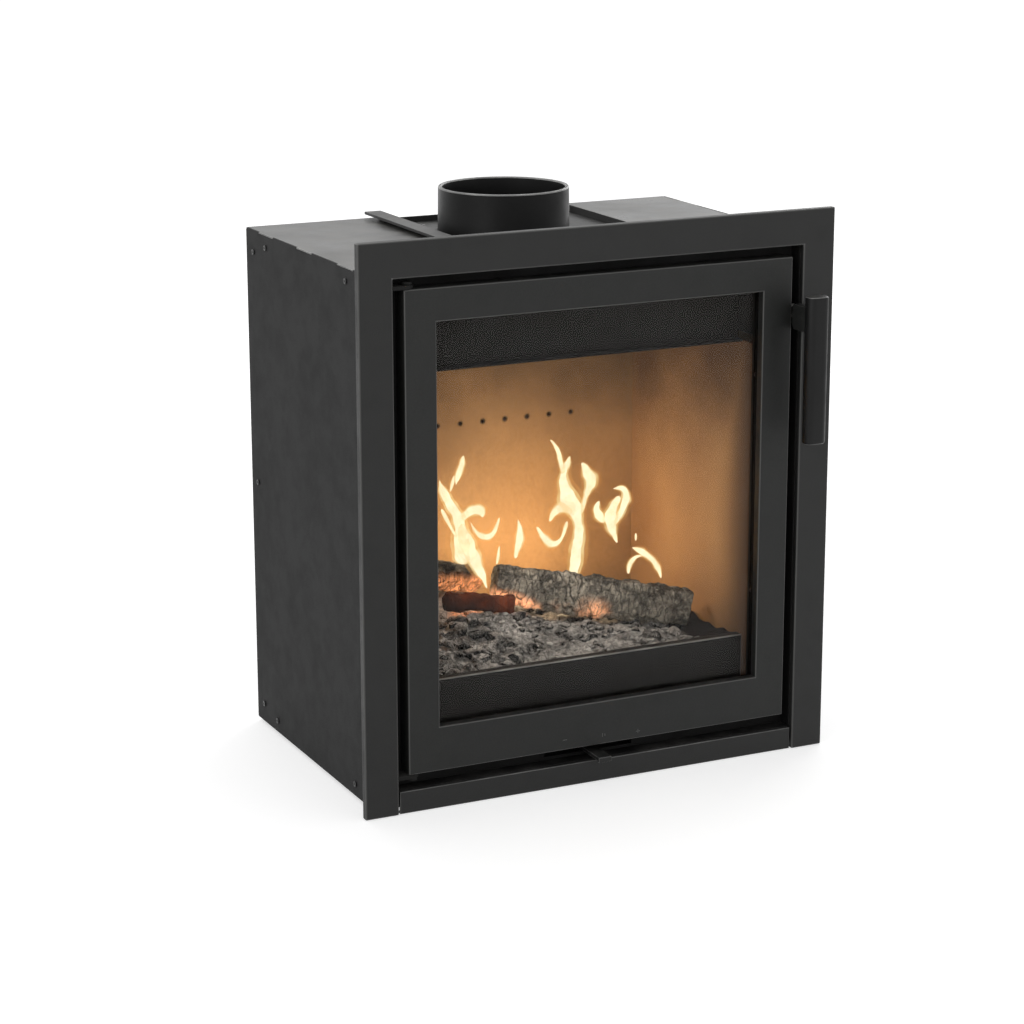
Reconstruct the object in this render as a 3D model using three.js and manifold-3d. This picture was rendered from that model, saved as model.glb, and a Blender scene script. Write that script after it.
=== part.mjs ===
// Wood-burning fireplace insert: steel casing, lined firebox, framed glass door with a drop
// handle, sliding air control and flue collar. Millimetres. +X is to the right, +Y is into the
// wall and +Z is up; y = 0 is the surround's front face and z = 0 is its lower edge.
import * as THREE from 'three';
import { mergeVertices } from 'three/addons/utils/BufferGeometryUtils.js';
import Module from 'manifold-3d';

const wasm = await Module();
wasm.setup();

// ---------------------------------------------------------------------------------------------
// Driving dimensions
// ---------------------------------------------------------------------------------------------
const gap = 0.3;                    // between pieces that seat on each other
const over = 1;                     // how far a cutting tool runs past the face that it leaves

const surround = {
  width: 570, height: 625, depth: 9, legWidth: 39, headHeight: 39.5, sheet: 3, edge: 1.6,
  overlap: 15,
};
const rail = { height: 25.3, recess: 2, sheet: 3, flange: 2.5, endGap: 2 };

const casing = {
  back: 365.5, bottom: 4.5, headRise: 4, sheet: 2, flange: 20, coverSheet: 1.5,
};
const coverTab = { count: 3, width: 44, frontMargin: 62, rearMargin: 62 };
const channel = { left: -112, right: 135, floorDrop: 8.5, flange: 11 };
const strap = { left: -124, width: 20, thickness: 3, lift: 4.5 };

const foot = {
  radius: 14, stud: 4, studTop: 24, insetX: 40, insetY: 32, holeClearance: 0.4, chamfer: 0.9,
};
const supportRail = { inner: 190, width: 25, sheet: 2, endMargin: 15 };

const door = {
  sideGap: 13, topGap: 12.5, bottomGap: 17.7, front: 1.5, thickness: 22, edge: 1.2,
  stile: 36.5, topRail: 36, bottomRail: 50, lip: 10.5, glassBearing: 9.5,
};
const rope = { width: 10, depth: 6.5, inset: 3, cornerRadius: 10, proud: 2.2, round: 3 };
const glass = {
  thickness: 4, edgeGap: 1.3, corner: 3, gasket: 0.7, gasketGap: 0.2, gasketLap: 1.5,
};
const glassStrip = { sheet: 1.5, width: 8, legEnd: 0.3, edgeGap: 0.5 };

const hinge = {
  inset: 6, depth: 8, pinRadius: 4, running: 0.3, pinDepth: 26.5, lugThickness: 4, lugFront: 1.0,
  lugNose: 4, lugCorner: 2, boreEnd: 0.5, headRadius: 6, headHeight: 3.2,
};
const handle = {
  pivotDepth: 8, pivotDrop: 66.5, shaftRadius: 5, running: 0.3, shaftDepth: 23,
  armThickness: 9, armSideGap: 1.3, neckHeight: 28, neckRise: 14.2, neckEnd: 2, bossRadius: 8.5,
  gripOffset: 5.5, gripWidth: 26, gripDepth: 18, gripRadius: 8, gripBackY: -32.5,
  gripRise: 29.5, gripLength: 165, gripEnd: 2.4, headRadius: 7.5, headHeight: 1.6,
};
const latch = {
  pinRadius: 2.5, pinLength: 9.5, y: 17.5, rise: 9, finger: 3, fingerGap: 3.2, under: 2.5, chamfer: 1,
};

const front = { plate: 4, wall: 2.2, mouthMargin: 3, mouthRise: 8, mouthRadius: 4 };
const doorSeat = 2.5;               // from the door's back face to the firebox front plate

const lining = { thickness: 25, setIn: 0.2, rearSpace: 53.5, topSpace: 77.6, edge: 1 };
const shell = { plate: 4, underMouth: 6, overMouth: 11.3 };
const airHole = { count: 9, pitch: 29.1, drop: 127.4, radius: 2.2, shellRadius: 3.2 };

const collar = {
  backInset: 113.5, outerRadius: 74.65, wall: 4.5, rise: 44.9, flare: 0.8, flange: 16.6,
  flangeHeight: 4, tail: 11, holeClearance: 0.6, plateClearance: 1.8, edge: 1, segments: 60,
};

const lowerBaffle = { thickness: 25, front: 110, chamfer: 8 };
const upperBaffle = { sheet: 2.5, lift: 22, sideInset: 9.3, front: 70, pastFlue: 10, legInset: 2 };
const deflector = { y: 60, sheet: 2.5, hang: 1.7, lip: 10 };
const retainer = { y: 40, sheet: 3.5, rise: 25.2, lip: 12, floorGap: 2.5, chamfer: 1 };

const grate = { width: 200, front: 110, depth: 135, clearance: 0.5, deck: 10, skirt: 6, corner: 3 };
const grateSlot = { count: 8, width: 7, endMargin: 16 };
const ashPan = { inset: 10.5, bottom: 34, sheet: 1.5, rim: 8, corner: 8, wellGap: 1.5 };

const airBox = { halfWidth: 110, seat: 11, sheet: 2, depth: 221 };
const airPort = { count: 3, width: 30, height: 16, pitch: 48, z: 40 };
const airSlider = { halfWidth: 80, height: 34, bottom: 28, sheet: 2 };
const airLever = {
  x: -4, width: 16, thickness: 4, bottom: 30, tip: -16, lipDrop: 2, travel: 45, slotGap: 1.5,
  tipRound: 1.8,
};
const airDuct = { halfWidth: 60, bottom: 22, top: 70, sheet: 2 };
const rearChannel = { halfWidth: 130, bottom: 10, aboveHoles: 24.7, sheet: 1.5, panelGap: 3 };
const spigot = { z: 112, radius: 49, wall: 2, flange: 11, sheet: 1.5, length: 14.5, segments: 40 };

// The fire's places are measured from the middle of the lining's back edge, at the bed's level.
const bed = { depth: 20.4, front: 53, sideGap: 1.2, cell: 14.2 };
const mounds = [
  { x: -75, y: -174, height: 36, spreadX: 95, spreadY: 50 },
  { x: -75, y: -72, height: 38, spreadX: 75, spreadY: 38 },
  { x: 60, y: -216, height: 12, spreadX: 70, spreadY: 38 },
];
const log = { sides: 12, rings: 16, seat: 0.4 };
const logs = [
  { name: 'log_main', from: [-48, -134, 62], to: [170, -196, 19], radius: 25, corner: 0.12, phase: 0.4 },
  { name: 'log_rear', from: [-146, -84, 71], to: [-40, -72, 50], radius: 18, corner: 0.09, phase: 1.9 },
  { name: 'log_front', from: [-124, -166, 57], to: [-41, -166, 43], radius: 10, corner: 0.05, phase: 3.3 },
];

// ---------------------------------------------------------------------------------------------
// Places worked out from the driving dimensions
// ---------------------------------------------------------------------------------------------
const openHalf = surround.width / 2 - surround.legWidth;
const openTop = surround.height - surround.headHeight;
const openBottom = rail.height;
const bodyFront = surround.depth + gap;

const doorHalf = openHalf - door.sideGap;
const doorTop = openTop - door.topGap;
const doorBottom = openBottom + door.bottomGap;
const doorBack = door.front + door.thickness;
const windowHalf = doorHalf - door.stile;
const windowTop = doorTop - door.topRail;
const windowBottom = doorBottom + door.bottomRail;
const rebateHalf = windowHalf + door.glassBearing;
const rebateTop = windowTop + door.glassBearing;
const rebateBottom = windowBottom - door.glassBearing;
const lipBack = door.front + door.lip;

const plateFront = doorBack + doorSeat;
const plateBack = plateFront + front.plate;
const mouthHalf = windowHalf + front.mouthMargin;
const mouthTop = windowTop + front.mouthRise;
const mouthBottom = windowBottom - front.mouthRise;

const pivotY = door.front + handle.pivotDepth;
const pivotZ = doorTop - handle.pivotDrop;

const casingHalf = surround.width / 2 - surround.overlap;
const casingTop = openTop + casing.headRise;
const coverUnder = casingTop - casing.coverSheet;
const innerHalf = casingHalf - casing.sheet;
const panelBack = casing.back - casing.coverSheet;
const sideBack = panelBack - gap;
const baseTop = casing.bottom + casing.sheet;

const liningHalf = mouthHalf - lining.setIn;
const liningBack = casing.back - lining.rearSpace;
const liningOuter = liningHalf + lining.thickness;
const shellInner = liningOuter + gap;
const shellOuter = shellInner + shell.plate;
const shellFront = plateBack + gap;
const shellInnerBack = liningBack + lining.thickness + gap;
const shellBack = shellInnerBack + shell.plate;
const shellBottom = mouthBottom - shell.underMouth;
const shellTop = mouthTop + shell.overMouth;
const shellFloor = shellBottom + shell.plate;
const shellCeiling = shellTop - shell.plate;
const floorTop = shellFloor + gap + lining.thickness;
const liningTop = shellCeiling - lining.topSpace;
const bedLevel = floorTop + gap + bed.depth;

const collarY = casing.back - collar.backInset;
const airHoleZ = liningTop - airHole.drop;
const airBoxFront = plateBack + airBox.seat;
const airBoxBack = airBoxFront + airBox.depth;
const channelBack = panelBack - rearChannel.panelGap;

// ---------------------------------------------------------------------------------------------
// Solid helpers
// ---------------------------------------------------------------------------------------------
function solid(geometry) {
  const bare = geometry.clone();
  bare.deleteAttribute('normal');
  bare.deleteAttribute('uv');
  const merged = mergeVertices(bare, 1e-4);
  return new wasm.Manifold(new wasm.Mesh({
    numProp: 3,
    vertProperties: new Float32Array(merged.attributes.position.array),
    triVerts: new Uint32Array(merged.index.array),
  }));
}

function geometryOf(body) {
  const mesh = body.getMesh();
  const geometry = new THREE.BufferGeometry();
  geometry.setAttribute('position', new THREE.BufferAttribute(mesh.vertProperties, 3));
  geometry.setIndex(new THREE.BufferAttribute(mesh.triVerts, 1));
  return geometry;
}

function cut(geometry, ...tools) {
  return geometryOf(tools.reduce((body, tool) => body.subtract(solid(tool)), solid(geometry)));
}

function join(geometry, ...others) {
  return geometryOf(others.reduce((body, other) => body.add(solid(other)), solid(geometry)));
}

function box(x0, x1, y0, y1, z0, z1) {
  const geometry = new THREE.BoxGeometry(x1 - x0, y1 - y0, z1 - z0);
  return geometry.translate((x0 + x1) / 2, (y0 + y1) / 2, (z0 + z1) / 2);
}

function outline(points) {
  return new THREE.Shape(points.map(([u, v]) => new THREE.Vector2(u, v)));
}

function rectangle(u0, u1, v0, v1) {
  return outline([[u0, v0], [u1, v0], [u1, v1], [u0, v1]]);
}

function roundedRectangle(u0, u1, v0, v1, radius) {
  const shape = new THREE.Shape();
  shape.absarc(u1 - radius, v0 + radius, radius, -Math.PI / 2, 0);
  shape.absarc(u1 - radius, v1 - radius, radius, 0, Math.PI / 2);
  shape.absarc(u0 + radius, v1 - radius, radius, Math.PI / 2, Math.PI);
  shape.absarc(u0 + radius, v0 + radius, radius, Math.PI, Math.PI * 1.5);
  return shape;
}

function ring(outer, inner) {
  outer.holes.push(inner);
  return outer;
}

// An outline grown by `depth`, with its long edges rounded by `edge` inside the outline.
function prism(shape, depth, edge = 0, segments = 3, curve = 5) {
  return new THREE.ExtrudeGeometry(shape, {
    depth: depth - 2 * edge, curveSegments: curve, bevelEnabled: edge > 0, bevelSegments: segments,
    bevelSize: edge, bevelThickness: edge, bevelOffset: -edge,
  }).translate(0, 0, edge);
}

// The outline is drawn in X and Z, as seen from the front.
function frontPlate(shape, y0, y1, edge, segments, curve) {
  return prism(shape, y1 - y0, edge, segments, curve).rotateX(Math.PI / 2).translate(0, y1, 0);
}

// The outline is drawn in X and Y, as seen from above.
function levelPlate(shape, z0, z1, edge, segments, curve) {
  return prism(shape, z1 - z0, edge, segments, curve).translate(0, 0, z0);
}

// The outline is drawn in Y and Z, as seen from the right.
function sideProfile(shape, x0, x1, edge, segments, curve) {
  const axes = new THREE.Matrix4().makeBasis(
    new THREE.Vector3(0, 1, 0), new THREE.Vector3(0, 0, 1), new THREE.Vector3(1, 0, 0));
  return prism(shape, x1 - x0, edge, segments, curve).applyMatrix4(axes).translate(x0, 0, 0);
}

function mirrorX(shape) {
  return outline(shape.getPoints().map((p) => [-p.x, p.y]).reverse());
}

// A profile of [radius, height] points turned about the Z axis.
function turned(points, segments) {
  const profile = [...points, points[0]].map(([r, z]) => new THREE.Vector2(r, z));
  return new THREE.LatheGeometry(profile, segments).rotateX(Math.PI / 2);
}

function rod(radius, z0, z1, segments = 24) {
  return new THREE.CylinderGeometry(radius, radius, z1 - z0, segments)
    .rotateX(Math.PI / 2).translate(0, 0, (z0 + z1) / 2);
}

function rodX(radius, x0, x1, segments = 24) {
  return new THREE.CylinderGeometry(radius, radius, x1 - x0, segments)
    .rotateZ(Math.PI / 2).translate((x0 + x1) / 2, 0, 0);
}

function rodY(radius, y0, y1, segments = 24) {
  return new THREE.CylinderGeometry(radius, radius, y1 - y0, segments)
    .translate(0, (y0 + y1) / 2, 0);
}

// ---------------------------------------------------------------------------------------------
// Finishes and the scene
// ---------------------------------------------------------------------------------------------
function finish(color, roughness, metalness) {
  return new THREE.MeshStandardMaterial({ color, roughness, metalness });
}

const finishes = {
  blackPaint: finish(0x3a3a39, 0.6, 0.3),
  casingPaint: finish(0x454545, 0.7, 0.3),
  collarPaint: finish(0x333333, 0.6, 0.3),
  bareSteel: finish(0x8c8c8a, 0.45, 0.8),
  darkSteel: finish(0x262626, 0.7, 0.5),
  castIron: finish(0x2e2d2c, 0.8, 0.4),
  vermiculite: finish(0xb08258, 0.95, 0.0),
  ceramicGlass: finish(0x9a9188, 0.05, 0.0),
  ropeSeal: finish(0x57534e, 0.95, 0.0),
  charcoal: finish(0x3c3936, 0.95, 0.0),
  ash: finish(0x6f6a66, 0.95, 0.0),
};

const insert = new THREE.Group();
const fixedGroup = new THREE.Group();
const doorGroup = new THREE.Group();
const handleGroup = new THREE.Group();
const airGroup = new THREE.Group();
insert.add(fixedGroup, doorGroup, airGroup);
doorGroup.add(handleGroup);

function add(name, geometry, material, parent = fixedGroup) {
  const mesh = new THREE.Mesh(geometry, material);
  mesh.name = name;
  parent.add(mesh);
  return mesh;
}

// ---------------------------------------------------------------------------------------------
// Surround: a folded head and legs, and a separate lower rail
// ---------------------------------------------------------------------------------------------
function surroundOutline(inset) {
  const half = surround.width / 2 - inset;
  const inner = openHalf + inset;
  const head = openTop + inset;
  const top = surround.height - inset;
  return outline([
    [-half, inset], [-inner, inset], [-inner, head], [inner, head],
    [inner, inset], [half, inset], [half, top], [-half, top],
  ]);
}

function makeSurround() {
  const face = frontPlate(surroundOutline(0), 0, surround.depth, surround.edge);
  const pocket = frontPlate(surroundOutline(surround.sheet), surround.sheet, surround.depth + over);
  add('surround_frame', cut(face, pocket), finishes.blackPaint);
}

function makeBottomRail() {
  const y0 = rail.recess;
  const y1 = y0 + rail.sheet;
  const y2 = surround.depth;
  const z1 = rail.height - rail.flange;
  const section = outline([
    [y0, 0], [y2, 0], [y2, rail.flange], [y1, rail.flange],
    [y1, z1], [y2, z1], [y2, rail.height], [y0, rail.height],
  ]);
  const half = openHalf - rail.endGap;
  add('surround_bottom_rail', sideProfile(section, -half, half), finishes.blackPaint);
}

// ---------------------------------------------------------------------------------------------
// Outer casing: folded side panels, back, base, cover plates and the recessed centre plate
// ---------------------------------------------------------------------------------------------
const tabPitch = (casing.back - bodyFront - coverTab.frontMargin - coverTab.rearMargin)
  / (coverTab.count - 1);
const tabCentres = Array.from({ length: coverTab.count },
  (_, i) => bodyFront + coverTab.frontMargin + i * tabPitch);

function sideWebOutline() {
  const points = [[bodyFront, casing.bottom], [sideBack, casing.bottom], [sideBack, casingTop]];
  const half = coverTab.width / 2 + gap;
  for (const y of [...tabCentres].reverse()) {
    points.push([y + half, casingTop], [y + half, coverUnder - gap]);
    points.push([y - half, coverUnder - gap], [y - half, casingTop]);
  }
  points.push([bodyFront, casingTop]);
  return outline(points);
}

function makeSidePanel(name, side) {
  const frontFlangeInner = openHalf + front.wall + gap;
  const backFlangeInner = innerHalf - casing.flange;
  const section = outline([
    [frontFlangeInner, bodyFront], [casingHalf, bodyFront], [casingHalf, sideBack],
    [backFlangeInner, sideBack], [backFlangeInner, sideBack - casing.sheet],
    [innerHalf, sideBack - casing.sheet], [innerHalf, bodyFront + casing.sheet],
    [frontFlangeInner, bodyFront + casing.sheet],
  ]);
  const folded = levelPlate(section, casing.bottom, coverUnder - gap);
  const web = sideProfile(sideWebOutline(), innerHalf, casingHalf);
  const lower = box(backFlangeInner, innerHalf + casing.sheet / 2, bodyFront + casing.sheet / 2,
    sideBack - casing.sheet / 2, baseTop + gap, baseTop + gap + casing.sheet);
  const panel = join(folded, web, lower);
  if (side < 0) {
    panel.scale(-1, 1, 1);
    panel.setIndex([...panel.index.array].reverse());
  }
  add(name, panel, finishes.casingPaint);
}

function makeBackPanel() {
  const sheet = rectangle(-casingHalf, casingHalf, casing.bottom, coverUnder - gap);
  const hole = new THREE.Path();
  hole.absarc(0, spigot.z, spigot.radius + 2 * gap, 0, Math.PI * 2, true);
  sheet.holes.push(hole);
  const panel = frontPlate(sheet, panelBack, casing.back, 0, 1, spigot.segments / 2);
  add('casing_back', panel, finishes.casingPaint);
}

const footPlaces = [-1, 1].flatMap((side) => [
  { x: side * (casingHalf - foot.insetX), y: bodyFront + foot.insetY, end: 'front' },
  { x: side * (casingHalf - foot.insetX), y: casing.back - foot.insetY, end: 'rear' },
]);

function makeBase() {
  const front0 = bodyFront + casing.sheet + gap;
  const half = innerHalf - gap;
  const lipHalf = half - casing.flange - gap;
  const floor = box(-half, half, front0, sideBack - casing.sheet - gap, casing.bottom, baseTop);
  const lip = box(-lipHalf, lipHalf, front0, front0 + casing.sheet,
    casing.bottom, openBottom - front.wall - gap);
  const holes = footPlaces.map(({ x, y }) =>
    rod(foot.stud + foot.holeClearance, casing.bottom - over, baseTop + over).translate(x, y, 0));
  add('casing_base', cut(join(floor, lip), ...holes), finishes.casingPaint);
}

function makeFeet() {
  const { radius, chamfer, stud, studTop } = foot;
  const discTop = casing.bottom - gap;
  for (const { x, y, end } of footPlaces) {
    const shape = turned([
      [0, 0], [radius - chamfer, 0], [radius, chamfer], [radius, discTop - chamfer],
      [radius - chamfer, discTop], [stud, discTop], [stud, studTop], [0, studTop],
    ], 16);
    const name = `levelling_foot_${end}_${x < 0 ? 'left' : 'right'}`;
    add(name, shape, finishes.bareSteel).position.set(x, y, 0);
  }
}

function makeCover(name, side, inner) {
  const outer = innerHalf - gap;
  const from = side < 0 ? -outer : inner;
  const to = side < 0 ? inner : outer;
  const sheet = levelPlate(rectangle(from, to, bodyFront, casing.back), coverUnder, casingTop);
  const tabs = tabCentres.map((y) => box(
    side < 0 ? -casingHalf : outer - over, side < 0 ? -outer + over : casingHalf,
    y - coverTab.width / 2, y + coverTab.width / 2, coverUnder, casingTop));
  const flange0 = side < 0 ? inner - casing.coverSheet : inner;
  const flange = box(flange0, flange0 + casing.coverSheet, plateBack + over, sideBack,
    casingTop - channel.flange - casing.coverSheet, coverUnder + casing.coverSheet / 2);
  add(name, join(sheet, ...tabs, flange), finishes.casingPaint);
}

const channelFloor = casingTop - channel.floorDrop;

function makeCentrePlate() {
  const sheet = levelPlate(
    rectangle(channel.left + gap, channel.right - gap, plateBack + 2 * gap, sideBack),
    channelFloor - casing.coverSheet, channelFloor);
  const hole = rod(collar.outerRadius + collar.flare + collar.plateClearance,
    channelFloor - casing.coverSheet - over, channelFloor + over, collar.segments)
    .translate(0, collarY, 0);
  add('top_centre_plate', cut(sheet, hole), finishes.casingPaint);
}

function makeStrap() {
  const right = strap.left + strap.width;
  const under = casingTop + strap.lift;
  const leg = right - strap.thickness;
  const section = outline([
    [strap.left, under], [leg, under], [leg, channelFloor + gap], [right, channelFloor + gap],
    [right, under + strap.thickness], [strap.left, under + strap.thickness],
  ]);
  const angle = frontPlate(section, plateBack, sideBack);
  const end = box(strap.left, right, sideBack - over, casing.back, under, under + strap.thickness);
  add('top_strap', join(angle, end), finishes.casingPaint);
}

function makeSupportRail(name, side) {
  const { inner, width, sheet } = supportRail;
  const low = baseTop + gap;
  const high = shellBottom - gap;
  const section = outline([
    [inner, low], [inner + width, low], [inner + width, low + sheet], [inner + sheet, low + sheet],
    [inner + sheet, high - sheet], [inner + width, high - sheet], [inner + width, high],
    [inner, high],
  ]);
  const shape = side < 0 ? mirrorX(section) : section;
  const beam = frontPlate(shape, shellFront + supportRail.endMargin,
    shellBack - supportRail.endMargin);
  add(name, beam, finishes.darkSteel);
}

// ---------------------------------------------------------------------------------------------
// Firebox: welded shell, pressed front with the door seat, lining, baffles and flue collar
// ---------------------------------------------------------------------------------------------
const airHolePlaces = Array.from({ length: airHole.count },
  (_, i) => (i - (airHole.count - 1) / 2) * airHole.pitch);

function airHoleTools(radius, y0, y1) {
  return airHolePlaces.map((x) => rodY(radius, y0, y1, 10).translate(x, 0, airHoleZ));
}

function makeShell() {
  const outer = box(-shellOuter, shellOuter, shellFront, shellBack, shellBottom, shellTop);
  const inner = box(-shellInner, shellInner, shellFront - over, shellInnerBack,
    shellFloor, shellCeiling);
  const flue = rod(collar.outerRadius + collar.flare + collar.holeClearance,
    shellCeiling - over, shellTop + over, collar.segments).translate(0, collarY, 0);
  const { wellGap } = ashPan;
  const well = box(-panHalf - wellGap, panHalf + wellGap, panFront - wellGap, panBack + wellGap,
    shellBottom - over, shellFloor + over);
  const holes = airHoleTools(airHole.shellRadius, shellInnerBack - over, shellBack + over);
  add('firebox_shell', cut(outer, inner, flue, well, ...holes), finishes.darkSteel);
}

function makeFireboxFront() {
  const half = openHalf + front.wall;
  const outer = box(-half, half, bodyFront, plateBack, openBottom - front.wall,
    openTop + front.wall);
  const seat = box(-openHalf, openHalf, bodyFront - over, plateFront, openBottom, openTop);
  const mouth = frontPlate(
    roundedRectangle(-mouthHalf, mouthHalf, mouthBottom, mouthTop, front.mouthRadius),
    plateFront - over, plateBack + over);
  const reach = airLever.width / 2 + airLever.travel + airLever.slotGap;
  const slot = box(airLever.x - reach, airLever.x + reach, plateFront - over, plateBack + over,
    airLever.bottom - airLever.slotGap, airLever.bottom + airLever.thickness + airLever.slotGap);
  add('firebox_front', cut(outer, seat, mouth, slot), finishes.darkSteel);
}

function makeLining() {
  const low = shellFloor + gap;
  const sideBackY = liningBack - gap;
  const back = box(-liningOuter, liningOuter, liningBack, liningBack + lining.thickness,
    low, liningTop);
  const holes = airHoleTools(airHole.radius, liningBack - over,
    liningBack + lining.thickness + over);
  add('lining_back', cut(back, ...holes), finishes.vermiculite);
  for (const side of [-1, 1]) {
    const x0 = side < 0 ? -liningOuter : liningHalf;
    const wall = levelPlate(rectangle(x0, x0 + lining.thickness, shellFront + gap, sideBackY),
      low, liningTop, lining.edge, 1);
    add(side < 0 ? 'lining_left' : 'lining_right', wall, finishes.vermiculite);
  }
  const half = liningHalf - gap;
  const floorFront = retainer.y + retainer.sheet + retainer.floorGap;
  const floor = ring(rectangle(-half, half, floorFront, sideBackY),
    rectangle(-grate.width / 2, grate.width / 2, grate.front, grate.front + grate.depth));
  add('lining_floor', levelPlate(floor, low, floorTop), finishes.vermiculite);
}

function makeBaffles() {
  const low = liningTop + gap;
  const high = low + lowerBaffle.thickness;
  const back = liningBack + lining.thickness;
  const { front: y0, chamfer } = lowerBaffle;
  const slab = outline([
    [y0, low], [back, low], [back, high], [y0 + chamfer, high], [y0, high - chamfer],
  ]);
  add('baffle_lower', sideProfile(slab, -liningOuter, liningOuter), finishes.vermiculite);

  const { sheet, sideInset, lift, pastFlue, legInset } = upperBaffle;
  const half = liningOuter - sideInset;
  const under = high + lift - sheet;
  const end = collarY + pastFlue;
  const plate = box(-half, half, upperBaffle.front, end, under, under + sheet);
  const legs = [-half, half - sheet].map((x) =>
    box(x, x + sheet, y0 + chamfer + legInset, end, high + gap, under + sheet / 2));
  add('baffle_upper', join(plate, ...legs), finishes.darkSteel);
}

function makeDeflector() {
  const { y, sheet, hang, lip } = deflector;
  const bottom = liningTop - hang;
  const section = outline([
    [y - lip, bottom], [y + sheet, bottom], [y + sheet, shellCeiling - gap],
    [y, shellCeiling - gap], [y, bottom + sheet], [y - lip, bottom + sheet],
  ]);
  const half = liningHalf - gap;
  add('air_wash_deflector', sideProfile(section, -half, half), finishes.darkSteel);
}

function makeRetainer() {
  const { y, sheet, rise, lip, chamfer } = retainer;
  const top = floorTop + rise;
  const section = outline([
    [y, shellFloor + gap], [y + sheet, shellFloor + gap], [y + sheet, top - sheet],
    [y + lip, top - sheet], [y + lip, top], [y + chamfer, top], [y, top - chamfer],
  ]);
  const half = liningHalf - gap;
  add('log_retainer', sideProfile(section, -half, half), finishes.darkSteel);
}

function makeCollar() {
  const { outerRadius: r, wall, flare, flange, flangeHeight, rise, tail, edge } = collar;
  const base = shellTop + gap;
  const top = casingTop + rise;
  const wide = r + flare;
  const tube = turned([
    [wide - wall, base - tail], [wide, base - tail], [wide, base], [wide + flange, base],
    [wide + flange, base + flangeHeight], [wide, base + flangeHeight], [r, top - edge],
    [r - edge, top], [r - wall + edge, top], [r - wall, top - edge],
  ], collar.segments);
  add('flue_collar', tube, finishes.collarPaint).position.set(0, collarY, 0);
}

// ---------------------------------------------------------------------------------------------
// Grate and ash pan
// ---------------------------------------------------------------------------------------------
const panHalf = grate.width / 2 - ashPan.inset;
const panFront = grate.front + ashPan.inset;
const panBack = grate.front + grate.depth - ashPan.inset;

function makeGrate() {
  const { skirt: wall, corner } = grate;
  const half = grate.width / 2 - grate.clearance;
  const y0 = grate.front + grate.clearance;
  const y1 = grate.front + grate.depth - grate.clearance;
  const deck = roundedRectangle(-half, half, y0, y1, corner);
  const pitch = (2 * half - 2 * wall) / grateSlot.count;
  for (let i = 0; i < grateSlot.count; i += 1) {
    const x = -half + wall + pitch * (i + 0.5);
    deck.holes.push(roundedRectangle(x - grateSlot.width / 2, x + grateSlot.width / 2,
      y0 + grateSlot.endMargin, y1 - grateSlot.endMargin, grateSlot.width * 0.48));
  }
  const deckLow = floorTop - grate.deck;
  const skirt = ring(roundedRectangle(-half, half, y0, y1, corner),
    roundedRectangle(-half + wall, half - wall, y0 + wall, y1 - wall, corner));
  const skirtLow = shellFloor + gap + ashPan.sheet + gap;
  add('grate', join(levelPlate(deck, deckLow, floorTop, 0, 1, 3),
    levelPlate(skirt, skirtLow, deckLow + grate.deck / 2, 0, 1, 3)), finishes.castIron);
}

function makeAshPan() {
  const { sheet, rim, corner } = ashPan;
  const rimLow = shellFloor + gap;
  const body = levelPlate(roundedRectangle(-panHalf, panHalf, panFront, panBack, corner),
    ashPan.bottom, rimLow + sheet / 2);
  const lip = levelPlate(
    roundedRectangle(-panHalf - rim, panHalf + rim, panFront - rim, panBack + rim, corner),
    rimLow, rimLow + sheet);
  const hollow = levelPlate(
    roundedRectangle(-panHalf + sheet, panHalf - sheet, panFront + sheet, panBack - sheet,
      corner - sheet), ashPan.bottom + sheet, rimLow + sheet + over);
  add('ash_pan', cut(join(body, lip), hollow), finishes.darkSteel);
}

// ---------------------------------------------------------------------------------------------
// Combustion air: box under the floor, duct, rear channel, inlet spigot, slider and lever
// ---------------------------------------------------------------------------------------------
function airPorts(y0, y1) {
  return Array.from({ length: airPort.count }, (_, i) => {
    const x = airLever.x + (i - (airPort.count - 1) / 2) * airPort.pitch;
    return box(x - airPort.width / 2, x + airPort.width / 2, y0, y1,
      airPort.z, airPort.z + airPort.height);
  });
}

// The duct's bore, as a tool that opens the walls at its two ends.
function ductTool(y0, y1) {
  const { halfWidth: w, bottom, top, sheet: t } = airDuct;
  return box(-w + t, w - t, y0, y1, bottom + t, top - t);
}

function makeAirBox() {
  const { halfWidth: w, sheet: t } = airBox;
  const y0 = airBoxFront;
  const y1 = airBoxBack;
  const low = baseTop + gap;
  const outer = box(-w, w, y0, y1, low, shellBottom - gap);
  const inner = box(-w + t, w - t, y0 + t, y1 - t, low + t, shellBottom + over);
  const ports = airPorts(y0 - over, y0 + t + over);
  add('air_box', cut(outer, inner, ductTool(y1 - t - over, y1 + over), ...ports),
    finishes.darkSteel);
}

function makeAirDuct() {
  const { halfWidth: w, bottom, top, sheet: t } = airDuct;
  const section = ring(rectangle(-w, w, bottom, top),
    rectangle(-w + t, w - t, bottom + t, top - t));
  add('air_duct', frontPlate(section, airBoxBack + gap, shellBack), finishes.darkSteel);
}

function makeRearChannel() {
  const { halfWidth: w, bottom, aboveHoles, sheet: t } = rearChannel;
  const top = airHoleZ + aboveHoles;
  const y0 = shellBack + gap;
  const y1 = channelBack;
  const outer = box(-w, w, y0, y1, bottom, top);
  const inner = box(-w + t, w - t, y0 + t, y1 - t, bottom + t, top - t);
  const open = box(-w + t, w - t, y0 - over, y0 + t + over, shellBottom + t, top - t);
  const inlet = rodY(spigot.radius - spigot.wall, y1 - t - over, y1 + over, spigot.segments)
    .translate(0, 0, spigot.z);
  add('rear_air_channel', cut(outer, inner, open, ductTool(y0 - over, y0 + t + over), inlet),
    finishes.darkSteel);
}

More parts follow.
